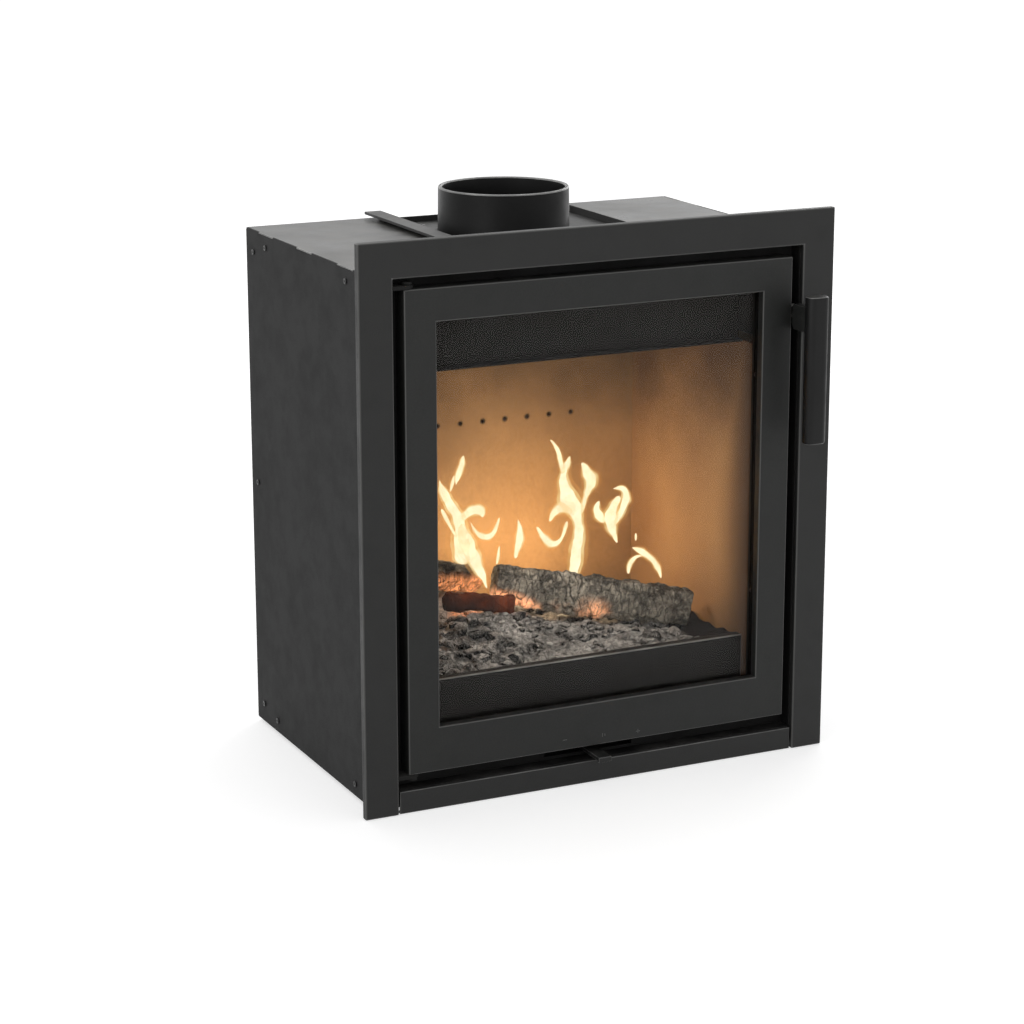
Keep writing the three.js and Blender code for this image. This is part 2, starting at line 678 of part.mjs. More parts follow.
function makeSpigot() {
  const { radius: r, wall, flange, sheet, length } = spigot;
  const y0 = channelBack + gap;
  const end = casing.back + length;
  const profile = [
    [r - wall, y0], [r + flange, y0], [r + flange, y0 + sheet], [r, y0 + sheet], [r, end],
    [r - wall, end], [r - wall, y0],
  ].map(([radius, y]) => new THREE.Vector2(radius, y));
  const tube = new THREE.LatheGeometry(profile, spigot.segments);
  add('air_inlet_spigot', tube, finishes.casingPaint).position.set(0, 0, spigot.z);
}

function makeAirControl() {
  const { width, thickness, bottom, tip, lipDrop, tipRound } = airLever;
  const sliderBack = airBoxFront - gap;
  const sliderFront = sliderBack - airSlider.sheet;
  const plate = box(-airSlider.halfWidth, airSlider.halfWidth, sliderFront, sliderBack,
    airSlider.bottom, airSlider.bottom + airSlider.height);
  const ports = airPorts(sliderFront - over, sliderBack + over)
    .map((tool) => tool.translate(-airLever.x, 0, 0));
  airGroup.position.set(airLever.x, 0, 0);
  add('air_slider', cut(plate, ...ports), finishes.darkSteel, airGroup);

  const top = bottom + thickness;
  const section = outline([
    [tip, bottom - lipDrop], [tip + thickness - lipDrop / 2, bottom - lipDrop],
    [tip + thickness, bottom], [sliderFront - gap, bottom], [sliderFront - gap, top],
    [tip + tipRound, top], [tip + tipRound * 0.3, top - tipRound * 0.3], [tip, top - tipRound],
  ]);
  add('air_lever', sideProfile(section, -width / 2, width / 2), finishes.blackPaint, airGroup);
}

// ---------------------------------------------------------------------------------------------
// Door: frame, glass with its gasket and strips, rope seal, hinges and the drop handle
// ---------------------------------------------------------------------------------------------
const hingeX = -(doorHalf - hinge.inset);
const hingeY = door.front + hinge.depth;
const armX0 = doorHalf + handle.armSideGap;
const armX1 = armX0 + handle.armThickness;

const ropeHalf = rebateHalf + rope.inset;
const ropeTop = rebateTop + rope.inset;
const ropeBottom = rebateBottom - rope.inset;

function ropeOutline(inset) {
  const w = rope.width - inset;
  return ring(
    roundedRectangle(-ropeHalf - w, ropeHalf + w, ropeBottom - w, ropeTop + w, rope.cornerRadius),
    roundedRectangle(-ropeHalf - inset, ropeHalf + inset, ropeBottom - inset, ropeTop + inset,
      rope.cornerRadius - rope.width + w));
}

function makeDoorFrame() {
  const face = ring(rectangle(-doorHalf, doorHalf, doorBottom, doorTop),
    rectangle(-windowHalf, windowHalf, windowBottom, windowTop));
  const frame = frontPlate(face, door.front, doorBack, door.edge, 2);
  const rebate = box(-rebateHalf, rebateHalf, lipBack, doorBack + over, rebateBottom, rebateTop);
  const groove = frontPlate(ropeOutline(0), doorBack - rope.depth, doorBack + over);
  const boreDepth = hinge.pinDepth + hinge.boreEnd;
  const bore = hinge.pinRadius + hinge.running;
  const pins = [doorBottom - over, doorTop - boreDepth].map((z) =>
    rod(bore, z, z + boreDepth + over).translate(hingeX, hingeY, 0));
  const socket = rodX(handle.shaftRadius + handle.running, doorHalf - handle.shaftDepth,
    doorHalf + over).translate(0, pivotY, pivotZ);
  add('door_frame', cut(frame, rebate, groove, ...pins, socket), finishes.blackPaint, doorGroup);
}

const glassFront = lipBack + glass.gasket + 2 * glass.gasketGap;
const glassBack = glassFront + glass.thickness;

function makeGlass() {
  const half = rebateHalf - glass.edgeGap;
  const low = rebateBottom + glass.edgeGap;
  const high = rebateTop - glass.edgeGap;
  const { corner, gasketLap } = glass;
  const pane = roundedRectangle(-half, half, low, high, corner);
  add('door_glass', frontPlate(pane, glassFront, glassBack, 0, 1, 3), finishes.ceramicGlass,
    doorGroup);
  const tape = ring(roundedRectangle(-half, half, low, high, corner),
    rectangle(-windowHalf - gasketLap, windowHalf + gasketLap,
      windowBottom - gasketLap, windowTop + gasketLap));
  add('glass_gasket', frontPlate(tape, lipBack + glass.gasketGap,
    lipBack + glass.gasketGap + glass.gasket, 0, 1, 3), finishes.ropeSeal, doorGroup);
}

function stripSection(edge, sign) {
  const { sheet, width, legEnd } = glassStrip;
  const y0 = glassBack + gap;
  const points = [
    [edge, y0], [edge - width, y0], [edge - width, y0 + sheet], [edge - sheet, y0 + sheet],
    [edge - sheet, doorBack - legEnd], [edge, doorBack - legEnd],
  ];
  return points.map(([u, y]) => [sign * u, y]);
}

function makeGlassStrips() {
  const { edgeGap, width } = glassStrip;
  const edgeX = rebateHalf - edgeGap;
  const innerX = edgeX - width - gap;
  for (const [name, sign] of [['right', 1], ['left', -1]]) {
    const points = stripSection(edgeX, sign);
    const section = outline(sign > 0 ? points.reverse() : points);
    add(`glass_strip_${name}`, levelPlate(section, rebateBottom + edgeGap, rebateTop - edgeGap),
      finishes.darkSteel, doorGroup);
  }
  for (const [name, sign, edge] of [
    ['top', 1, rebateTop - edgeGap], ['bottom', -1, -(rebateBottom + edgeGap)],
  ]) {
    const points = stripSection(edge, sign).map(([z, y]) => [y, z]);
    const section = outline(sign > 0 ? points : points.reverse());
    add(`glass_strip_${name}`, sideProfile(section, -innerX, innerX), finishes.darkSteel,
      doorGroup);
  }
}

function makeRope() {
  const seal = frontPlate(ropeOutline(gap), doorBack - rope.depth + gap, doorBack + rope.proud,
    rope.round, 2, 4);
  add('door_rope', seal, finishes.ropeSeal, doorGroup);
}

function makeHinge(name, end) {
  const { pinRadius: r, running, lugThickness, lugFront, lugNose, lugCorner } = hinge;
  const { headRadius, headHeight, pinDepth } = hinge;
  const doorFace = end < 0 ? doorBottom : doorTop;
  const near = doorFace + end * gap;
  const far = near + end * lugThickness;
  const wall = -openHalf + gap;
  const nose = hingeX + r + lugNose;
  const back = 2 * hingeY - lugFront;
  const lug = outline([
    [wall, lugFront], [hingeX, lugFront], [nose - lugCorner, hingeY - lugNose], [nose, hingeY],
    [nose - lugCorner, hingeY + lugNose], [hingeX, back], [wall, back],
  ]);
  const plate = levelPlate(lug, Math.min(near, far), Math.max(near, far));
  const bore = rod(r + running, Math.min(near, far) - over, Math.max(near, far) + over)
    .translate(hingeX, hingeY, 0);
  add(`hinge_lug_${name}`, cut(plate, bore), finishes.darkSteel);

  const headNear = far + end * gap;
  const profile = [
    [0, headNear + end * headHeight], [headRadius, headNear + end * headHeight],
    [headRadius, headNear], [r, headNear], [r, doorFace - end * pinDepth],
    [0, doorFace - end * pinDepth],
  ];
  const pin = turned(end < 0 ? profile : profile.reverse(), 24);
  add(`hinge_pin_${name}`, pin, finishes.bareSteel).position.set(hingeX, hingeY, 0);
}

function makeKeeper() {
  const x1 = openHalf - gap;
  const pin = rodX(latch.pinRadius, x1 - latch.pinLength, x1, 16);
  add('latch_keeper', pin, finishes.bareSteel).position.set(0, latch.y, pivotZ + latch.rise);
}

function makeHandleShaft() {
  const head0 = armX1 + gap;
  const shaft = rodX(handle.shaftRadius, doorHalf - handle.shaftDepth + gap,
    head0 + handle.headHeight / 2);
  const head = rodX(handle.headRadius, head0, head0 + handle.headHeight);
  add('handle_shaft', join(shaft, head), finishes.bareSteel, doorGroup)
    .position.set(0, pivotY, pivotZ);
}

// The handle's own group has its origin on the pivot axis.
function makeHandle() {
  handleGroup.position.set(0, pivotY, pivotZ);
  const r = handle.bossRadius;
  const top = handle.neckRise;
  const bottom = top - handle.neckHeight;
  const gripBack = handle.gripBackY - pivotY;
  const fingerY = latch.y + latch.pinRadius + latch.fingerGap - pivotY;
  const fingerTop = latch.rise - latch.pinRadius - latch.under;
  const arm = new THREE.Shape();
  arm.moveTo(gripBack + gap, bottom);
  arm.lineTo(-r - handle.neckEnd, bottom);
  arm.absarc(0, 0, r, -Math.PI * 0.72, -Math.PI * 0.2);
  arm.lineTo(fingerY, -r * 0.5);
  arm.lineTo(fingerY, fingerTop - latch.chamfer);
  arm.lineTo(fingerY - latch.chamfer, fingerTop);
  arm.lineTo(fingerY - latch.finger, fingerTop);
  arm.absarc(0, 0, r, Math.PI * 0.12, Math.PI * 0.6);
  arm.lineTo(-r - handle.neckEnd, top);
  arm.lineTo(gripBack + gap, top);
  const plate = sideProfile(arm, armX0, armX1, 0, 1, 8);
  const bore = rodX(handle.shaftRadius + handle.running, armX0 - over, armX1 + over);
  add('handle_arm', cut(plate, bore), finishes.blackPaint, handleGroup);

  const half = handle.gripWidth / 2;
  const section = roundedRectangle(-half, half, gripBack - handle.gripDepth, gripBack,
    handle.gripRadius);
  const grip = levelPlate(section, handle.gripRise - handle.gripLength, handle.gripRise,
    handle.gripEnd, 2, 5);
  add('handle_grip', grip, finishes.blackPaint, handleGroup)
    .position.set(doorHalf + handle.gripOffset, 0, 0);
}

// ---------------------------------------------------------------------------------------------
// Fuel: charred logs on a bed of ash and embers
// ---------------------------------------------------------------------------------------------
const fireOrigin = new THREE.Vector3(0, liningBack, bedLevel);

function logGeometry({ from, to, radius, corner, phase }, growth = 0) {
  const start = new THREE.Vector3(...from).add(fireOrigin);
  const end = new THREE.Vector3(...to).add(fireOrigin);
  const axis = end.clone().sub(start);
  const length = axis.length() + 2 * growth;
  const positions = [];
  for (let i = 0; i <= log.rings; i += 1) {
    const u = i / log.rings;
    const taper = 1 - 0.08 * u - 0.1 * (Math.exp(-u * 22) + Math.exp(-(1 - u) * 22));
    for (let j = 0; j < log.sides; j += 1) {
      const a = (j / log.sides) * Math.PI * 2;
      const swell = 0.07 * Math.cos(2 * a + phase) + corner * Math.cos(3 * a - 2 * phase + 2 * u)
        + 0.03 * Math.sin(9 * u + phase + a);
      const r = radius * (taper + swell) + growth;
      positions.push((u - 0.5) * length, r * Math.cos(a), r * Math.sin(a));
    }
  }
  const ends = positions.length / 3;
  positions.push(-length / 2, 0, 0, length / 2, 0, 0);
  const index = [];
  for (let j = 0; j < log.sides; j += 1) {
    const k = (j + 1) % log.sides;
    for (let i = 0; i < log.rings; i += 1) {
      const a = i * log.sides;
      const b = a + log.sides;
      index.push(a + j, a + k, b + j, a + k, b + k, b + j);
    }
    const last = log.rings * log.sides;
    index.push(ends, k, j, ends + 1, last + j, last + k);
  }
  const geometry = new THREE.BufferGeometry();
  geometry.setAttribute('position', new THREE.Float32BufferAttribute(positions, 3));
  geometry.setIndex(index);
  const turn = new THREE.Quaternion()
    .setFromUnitVectors(new THREE.Vector3(1, 0, 0), axis.clone().normalize());
  const middle = start.clone().add(end).multiplyScalar(0.5);
  return geometry.applyQuaternion(turn).translate(middle.x, middle.y, middle.z);
}

function bedHeight(x, y) {
  const lumps = 2.2 * Math.sin(x / 9 + 1.3 * Math.sin(y / 13)) * Math.cos(y / 8 + x / 31)
    + 1.2 * Math.sin(x / 4.3 + y / 6.1);
  return mounds.reduce((z, m) => z + m.height
    * Math.exp(-(((x - m.x) / m.spreadX) ** 2) - (((y - m.y - liningBack) / m.spreadY) ** 2)),
  bedLevel + lumps);
}

function bedGeometry() {
  const x0 = -liningHalf + bed.sideGap;
  const x1 = -x0;
  const y0 = bed.front;
  const y1 = liningBack - bed.sideGap;
  const base = floorTop + gap;
  const positions = [];
  const columns = Math.round((x1 - x0) / bed.cell);
  const rows = Math.round((y1 - y0) / bed.cell);
  for (let j = 0; j <= rows; j += 1) {
    for (let i = 0; i <= columns; i += 1) {
      const x = x0 + ((x1 - x0) * i) / columns;
      const y = y0 + ((y1 - y0) * j) / rows;
      positions.push(x, y, bedHeight(x, y));
    }
  }
  const top = (i, j) => j * (columns + 1) + i;
  const rim = [];
  for (let i = 0; i < columns; i += 1) rim.push(top(i, 0));
  for (let j = 0; j < rows; j += 1) rim.push(top(columns, j));
  for (let i = columns; i > 0; i -= 1) rim.push(top(i, rows));
  for (let j = rows; j > 0; j -= 1) rim.push(top(0, j));
  const firstLow = positions.length / 3;
  for (const v of rim) positions.push(positions[3 * v], positions[3 * v + 1], base);
  const centre = positions.length / 3;
  positions.push(0, (y0 + y1) / 2, base);
  const index = [];
  for (let j = 0; j < rows; j += 1) {
    for (let i = 0; i < columns; i += 1) {
      index.push(top(i, j), top(i + 1, j), top(i + 1, j + 1));
      index.push(top(i, j), top(i + 1, j + 1), top(i, j + 1));
    }
  }
  rim.forEach((v, k) => {
    const next = (k + 1) % rim.length;
    index.push(v, firstLow + k, firstLow + next, v, firstLow + next, rim[next]);
    index.push(centre, firstLow + next, firstLow + k);
  });
  const geometry = new THREE.BufferGeometry();
  geometry.setAttribute('position', new THREE.Float32BufferAttribute(positions, 3));
  geometry.setIndex(index);
  return geometry;
}

function makeFire() {
  add('ember_bed', cut(bedGeometry(), ...logs.map((item) => logGeometry(item, log.seat))),
    finishes.ash);
  for (const item of logs) add(item.name, logGeometry(item), finishes.charcoal);
}

makeSurround();
makeBottomRail();
makeSidePanel('casing_left', -1);
makeSidePanel('casing_right', 1);
makeBackPanel();
makeBase();
makeFeet();
makeCover('top_cover_left', -1, channel.left);
makeCover('top_cover_right', 1, channel.right);
makeCentrePlate();
makeStrap();
makeSupportRail('support_rail_left', -1);
makeSupportRail('support_rail_right', 1);
makeShell();
makeFireboxFront();
makeLining();
makeBaffles();
makeDeflector();
makeRetainer();
makeCollar();
makeGrate();
makeAshPan();
makeAirBox();
makeAirDuct();
makeRearChannel();
makeSpigot();
makeAirControl();
makeDoorFrame();
makeGlass();
makeGlassStrips();
makeRope();
makeHinge('lower', -1);
makeHinge('upper', 1);
makeKeeper();
makeHandleShaft();
makeHandle();
makeFire();

export default insert;
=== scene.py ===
import math
import random
from contextlib import contextmanager

import bpy
from mathutils import Matrix, Vector


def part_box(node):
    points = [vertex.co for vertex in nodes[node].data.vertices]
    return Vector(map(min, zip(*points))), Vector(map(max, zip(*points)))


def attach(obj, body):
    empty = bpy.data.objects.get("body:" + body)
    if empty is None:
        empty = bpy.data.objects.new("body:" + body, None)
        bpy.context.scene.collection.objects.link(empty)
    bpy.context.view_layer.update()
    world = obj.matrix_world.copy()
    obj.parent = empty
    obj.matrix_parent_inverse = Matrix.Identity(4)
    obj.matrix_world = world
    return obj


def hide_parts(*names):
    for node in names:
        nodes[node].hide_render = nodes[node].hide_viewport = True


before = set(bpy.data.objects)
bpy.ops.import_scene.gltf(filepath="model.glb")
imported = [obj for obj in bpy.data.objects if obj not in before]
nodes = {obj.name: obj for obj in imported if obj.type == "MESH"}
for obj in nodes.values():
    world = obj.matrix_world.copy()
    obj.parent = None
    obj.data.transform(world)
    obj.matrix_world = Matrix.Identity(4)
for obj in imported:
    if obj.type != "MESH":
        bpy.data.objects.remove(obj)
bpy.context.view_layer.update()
MM = 0.001
SEAM = 0.00001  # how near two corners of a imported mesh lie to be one

# ---- Camera, at the place and angles found from the photograph's straight edges ----
CAMERA_PLACE = (-1.3712, -2.6291, 1.0943)
CAMERA_TURNS = ((-25.615, "Z"), (75.185, "X"), (-0.085, "Z"))
camera_data = bpy.data.cameras.new("front_left_view")
camera_data.sensor_width = 36.0
camera_data.lens = 99.08
camera_data.clip_end = 100.0
camera = bpy.data.objects.new("front_left_view", camera_data)
stance = Matrix.Translation(CAMERA_PLACE)
for degrees, axis in CAMERA_TURNS:
    stance = stance @ Matrix.Rotation(math.radians(degrees), 4, axis)
camera.matrix_world = stance
bpy.context.scene.collection.objects.link(camera)
bpy.context.scene.camera = camera
bpy.context.scene.view_settings.view_transform = "Standard"


# ---- Bench helpers ----
def clear_bench():
    """Leave edit mode with nothing selected."""
    if bpy.context.object and bpy.context.object.mode != "OBJECT":
        bpy.ops.object.mode_set(mode="OBJECT")
    bpy.ops.object.select_all(action="DESELECT")


def hold(piece):
    """Make one piece the only thing selected."""
    clear_bench()
    piece.select_set(True)
    bpy.context.view_layer.objects.active = piece


def new_object(name, data):
    """A new object in the scene."""
    made = bpy.data.objects.new(name, data)
    bpy.context.scene.collection.objects.link(made)
    return made


def name_piece(name):
    """Name the piece just added, put its place in its mesh, and hand it back."""
    piece = bpy.context.object
    piece.name = name
    piece.data.name = name
    hold(piece)
    bpy.ops.object.transform_apply(location=True, rotation=True, scale=True)
    return piece


@contextmanager
def shaping(piece, test=None):
    """Edit mode with all of a piece selected, or only the faces that pass the test."""
    hold(piece)
    if test:
        bpy.context.tool_settings.mesh_select_mode = (False, False, True)
        for part in (piece.data.vertices, piece.data.edges):
            part.foreach_set("select", [False] * len(part))
        for face in piece.data.polygons:
            face.select = test(face)
    bpy.ops.object.mode_set(mode="EDIT")
    if not test:
        bpy.ops.mesh.select_all(action="SELECT")
    yield
    bpy.ops.object.mode_set(mode="OBJECT")


def turn(angle, axis, centre):
    """Turn what is selected by the right-hand rule about a point."""
    bpy.ops.transform.rotate(
        value=-angle, orient_axis=axis, orient_type="GLOBAL", center_override=centre
    )


def use_modifier(piece, kind, **settings):
    """Add a modifier and apply it at once."""
    modifier = piece.modifiers.new(kind.lower(), kind)
    for name, value in settings.items():
        setattr(modifier, name, value)
    hold(piece)
    bpy.ops.object.modifier_apply(modifier=modifier.name)


def round_edges(piece, width, angle, **settings):
    """Round the edges that turn by more than an angle in degrees."""
    use_modifier(
        piece, "BEVEL", width=width, segments=2, limit_method="ANGLE",
        angle_limit=math.radians(angle), **settings
    )


def displace(piece, texture, strength, level=0.5, **settings):
    """Push a piece's surface in and out by a texture."""
    settings = {"texture_coords": "LOCAL", **settings}
    use_modifier(
        piece, "DISPLACE", texture=texture, strength=strength, mid_level=level, **settings
    )


def smooth(piece, angle):
    """Shade a piece smoothly over the edges that turn by less than an angle in degrees."""
    hold(piece)
    bpy.ops.object.shade_smooth_by_angle(angle=math.radians(angle))


def close_seams(piece):
    with shaping(piece):
        bpy.ops.mesh.remove_doubles(threshold=SEAM)


def face_outwards(piece):
    with shaping(piece):
        bpy.ops.mesh.normals_make_consistent(inside=False)


def hand_over(piece, body, material, replaced=()):
    """Give a finished piece its material and the body it moves with."""
    edge_marks = [face.material_index for face in piece.data.polygons]
    piece.data.materials.clear()
    piece.data.materials.append(material)
    piece.data.polygons.foreach_set("material_index", edge_marks)
    if replaced:
        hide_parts(*replaced)
    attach(piece, body)


def merged_copy(node, name):
    """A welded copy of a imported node, with a mesh of its own."""
    piece = new_object(name, nodes[node].data.copy())
    piece.data.name = name
    if piece.data.has_custom_normals:
        hold(piece)
        bpy.ops.mesh.customdata_custom_splitnormals_clear()
    close_seams(piece)
    return piece


def set_out(master, places, body, material, name):
    """Copy a model piece to each place, then put the model away."""
    for number, place in enumerate(places, 1):
        piece = new_object(f"{name}_{number}", master.data.copy())
        piece.data.name = piece.name
        piece.data.transform(place)
        hand_over(piece, body, material)
    bpy.data.objects.remove(master)


# ---- Node helpers ----
def add(tree, kind, sockets=None, **settings):
    part = tree.nodes.new("ShaderNode" + kind)
    for name, value in settings.items():
        setattr(part, name, value)
    for name, value in (sockets or {}).items():
        part.inputs[name].default_value = value
    return part


def noise(tree, vector, scale, detail=3.0, roughness=0.55):
    part = add(tree, "TexNoise", {"Detail": detail, "Roughness": roughness})
    tree.links.new(vector, part.inputs["Vector"])
    feed(tree, part.inputs["Scale"], scale)
    return part.outputs["Fac"]


def feed(tree, socket, value):
    """Join a socket to another, or set its number, vector or solid colour."""
    if isinstance(value, bpy.types.NodeSocket):
        tree.links.new(value, socket)
    elif socket.type == "RGBA":
        socket.default_value = (*value, 1.0)
    else:
        socket.default_value = value


def span(tree, value, low, high, to_low=0.0, to_high=1.0, smooth_step=False):
    part = add(tree, "MapRange", interpolation_type="SMOOTHSTEP" if smooth_step else "LINEAR")
    for socket, number in zip(part.inputs, (value, low, high, to_low, to_high)):
        feed(tree, socket, number)
    return part.outputs["Result"]


def maths(tree, operation, first, second=0.5, clamp=False):
    part = add(tree, "Math", operation=operation, use_clamp=clamp)
    feed(tree, part.inputs[0], first)
    feed(tree, part.inputs[1], second)
    return part.outputs[0]


def grey(level):
    return (level, level, level)


def times(tree, first, second):
    return maths(tree, "MULTIPLY", first, second)


def tint(tree, share, first, second):
    """Colour that runs from the first to the second as share goes from 0 to 1."""
    part = add(tree, "Mix", data_type="RGBA")
    feed(tree, part.inputs[0], share)
    feed(tree, part.inputs[6], first)
    feed(tree, part.inputs[7], second)
    return part.outputs[2]


def object_place(tree):
    """Where a point lies on the finished object, in metres."""
    return add(tree, "TexCoord").outputs["Object"]


def split(tree, vector):
    """The X, Y and Z of a vector."""
    part = add(tree, "SeparateXYZ")
    tree.links.new(vector, part.inputs[0])
    return part.outputs


def vectors(tree, operation, *values):
    """A step of vector maths on sockets or plain vectors."""
    part = add(tree, "VectorMath", operation=operation)
    for socket, value in zip(part.inputs, values):
        feed(tree, socket, value)
    return part.outputs


def facing_up(tree):
    """How much a face looks up, from -1 to 1."""
    return split(tree, add(tree, "NewGeometry").outputs["Normal"])["Z"]


def shade(tree, colour, factor):
    """A colour made lighter or darker by a factor."""
    return vectors(tree, "MULTIPLY", colour, factor)["Vector"]


def join(tree, sockets, **values):
    """Feed sockets by their names, with _ for a space."""
    for label, value in values.items():
        feed(tree, sockets[label.replace("_", " ")], value)


def effect(name, inputs, outputs):
    """An empty shader group with named sockets; hands back the group and its two end nodes."""
    group = bpy.data.node_groups.new(name, "ShaderNodeTree")
    kinds = {float: "NodeSocketFloat", tuple: "NodeSocketColor", Vector: "NodeSocketVector"}
    for label, value in inputs:
        socket = group.interface.new_socket(
            name=label, in_out="INPUT", socket_type=kinds[type(value)]
        )
        socket.default_value = (*value, 1.0) if type(value) is tuple else value
    for label, kind in outputs:
        group.interface.new_socket(name=label, in_out="OUTPUT", socket_type="NodeSocket" + kind)
    given = group.nodes.new("NodeGroupInput").outputs
    return group, given, group.nodes.new("NodeGroupOutput").inputs


def place_effect(tree, group, **values):
    part = tree.nodes.new("ShaderNodeGroup")
    part.node_tree = group
    join(tree, part.inputs, **values)
    return part.outputs


def new_material(name, specular=0.5, metallic=0.0, roughness=0.5):
    material = bpy.data.materials.new(name)
    material.use_nodes = True
    tree = material.node_tree
    shader = tree.nodes["Principled BSDF"].inputs
    join(tree, shader, Specular_IOR_Level=specular, Metallic=metallic, Roughness=roughness)
    return material, tree, shader


def bump(tree, shader, height, strength, depth):
    part = add(tree, "Bump", {"Strength": strength, "Distance": depth})
    tree.links.new(height, part.inputs["Height"])
    tree.links.new(part.outputs["Normal"], shader["Normal"])


# ---- Shared effects ----
def paint_film_effect():
    """Sprayed stove paint: a slow mottle, a fine grain and dust on what faces up."""
    group, given, out = effect(
        "paint_film",
        [
            ("Paint", grey(0.04)), ("Faded", grey(0.06)), ("Dust", 0.2),
            ("Mottle", 7.0), ("Grain", 900.0), ("Smooth", 0.4), ("Rough", 0.6),
        ],
        [("Color", "Color"), ("Roughness", "Float"), ("Height", "Float")],
    )
    place = object_place(group)
    slow = span(group, noise(group, place, given["Mottle"], 5.0), 0.35, 0.68)
    grain = noise(group, place, given["Grain"], 2.0)
    smudge = span(group, noise(group, place, 31.0, 4.0, 0.7), 0.42, 0.7)
    up = span(group, facing_up(group), 0.35, 0.95)
    settled = times(group, times(group, up, given["Dust"]), smudge)
    colour = tint(group, slow, given["Paint"], given["Faded"])
    colour = shade(group, colour, span(group, grain, 0.3, 0.75, 0.82, 1.2))
    gloss = span(group, slow, 0.0, 1.0, given["Smooth"], given["Rough"])
    spread = span(group, smudge, 0.0, 1.0, -0.05, 0.07)
    join(
        group, out,
        Color=tint(group, settled, colour, (0.30, 0.29, 0.27)),
        Roughness=maths(group, "ADD", gloss, spread, clamp=True),
        Height=grain,
    )
    return group


def soot_effect():
    """Soot that gathers with height, in drifting clouds."""
    group, given, out = effect(
        "soot_drift",
        [("Clean Below", 0.30), ("Black Above", 0.50), ("Drift", 0.06)],
        [("Mask", "Float")],
    )
    place = object_place(group)
    cloud = span(group, noise(group, place, 9.0, 5.0, 0.6), 0.2, 0.8, -1.0, 1.0)
    drift = times(group, cloud, given["Drift"])
    height = maths(group, "ADD", split(group, place)["Z"], drift)
    soot = span(group, height, given["Clean Below"], given["Black Above"], smooth_step=True)
    join(group, out, Mask=soot)
    return group


def char_effect():
    """Burnt wood: blocks parted by deep cracks, with ash on top and heat in the cracks."""
    group, given, out = effect(
        "char_crust",
        [
            ("Along", Vector((1.0, 0.0, 0.0))), ("Blocks", 70.0), ("Stretch", 0.45),
            ("Char", (0.02, 0.019, 0.018)), ("Ash", (0.30, 0.29, 0.28)), ("Ash Cover", 0.5),
            ("Flecks", 0.3), ("Rims", 0.4), ("Cracks", 1.0), ("Top Ash", 1.0),
        ],
        [("Color", "Color"), ("Height", "Float"), ("Crack", "Float")],
    )
    place = object_place(group)
    wobble = add(group, "TexNoise", {"Scale": 44.0, "Detail": 6.0, "Roughness": 0.68})
    group.links.new(place, wobble.inputs["Vector"])
    drift = vectors(group, "MULTIPLY_ADD", wobble.outputs["Color"], grey(0.016), place)["Vector"]
    along = vectors(group, "DOT_PRODUCT", drift, given["Along"])["Value"]
    scaled = add(group, "VectorMath", operation="SCALE")
    join(group, scaled.inputs, Vector=drift, Scale=given["Stretch"])
    grain = vectors(group, "MULTIPLY_ADD", given["Along"], along, scaled.outputs[0])["Vector"]

    def cell_edges(scale):
        cells = add(group, "TexVoronoi", {"Randomness": 1.0}, feature="DISTANCE_TO_EDGE")
        join(group, cells.inputs, Vector=grain, Scale=scale)
        return cells.outputs["Distance"]

    blocks = cell_edges(given["Blocks"])
    chips = cell_edges(times(group, given["Blocks"], 2.7))
    fine = noise(group, place, 420.0, 5.0, 0.75)
    middling = noise(group, place, 130.0, 5.0, 0.7)
    broad = noise(group, place, 26.0, 4.0, 0.6)
    uneven = noise(group, place, 58.0, 4.0, 0.65)
    width = span(group, uneven, 0.35, 0.65, 0.02, 0.11)
    crack = span(group, blocks, 0.0, width, 1.0, 0.0)
    crack = times(group, crack, span(group, broad, 0.36, 0.56, 0.35, 1.0))
    hair = span(group, chips, 0.0, 0.09, 0.7, 0.0)
    hair = times(group, hair, span(group, uneven, 0.46, 0.6, 1.0, 0.0))
    crack = maths(group, "MAXIMUM", crack, hair)
    up = span(group, facing_up(group), -0.6, 0.9, -0.22, 0.22)
    up = times(group, up, given["Top Ash"])
    lie = maths(group, "ADD", maths(group, "ADD", broad, up), times(group, fine, 0.25))
    lie = maths(group, "ADD", lie, times(group, middling, 0.45))
    reach = span(group, given["Ash Cover"], 0.0, 1.0, 1.28, 0.55)
    powder = span(group, lie, reach, maths(group, "ADD", reach, 0.30))
    inner, outer = span(group, blocks, 0.05, 0.14), span(group, blocks, 0.14, 0.3, 1.0, 0.0)
    rim = times(group, inner, outer)
    rim = times(group, rim, span(group, middling, 0.42, 0.62))
    powder = maths(group, "MAXIMUM", powder, times(group, rim, given["Rims"]))
    bitten = times(group, crack, given["Cracks"])
    powder = times(group, powder, span(group, bitten, 0.0, 1.0, 1.0, 0.04))
    colour = tint(group, powder, given["Char"], given["Ash"])
    colour = shade(group, colour, span(group, middling, 0.32, 0.68, 0.66, 1.22))
    white = span(group, noise(group, place, 170.0, 4.0, 0.8), 0.58, 0.66)
    white = times(group, times(group, white, given["Flecks"]), powder)
    crumbs, lumps = times(group, fine, 0.4), times(group, middling, 0.9)
    join(
        group, out,
        Color=tint(group, white, colour, (0.66, 0.64, 0.61)),
        Height=maths(group, "SUBTRACT", maths(group, "ADD", crumbs, lumps), crack),
        Crack=crack,
    )
    return group


def front_rim_highlight_effect():
    """Where to paint a highlight: the narrow rounded edges of a plate that faces front, found by
    how they lean.
    """
    group, _, out = effect("front_rim_highlight", [], [("Mask", "Float")])
    lean = split(group, add(group, "TexCoord").outputs["Normal"])["Y"]
    front = maths(group, "ABSOLUTE", lean)
    inner, outer = span(group, front, 0.1, 0.25), span(group, front, 0.95, 0.985, 1.0, 0.0)
    join(group, out, Mask=times(group, inner, outer))
    return group


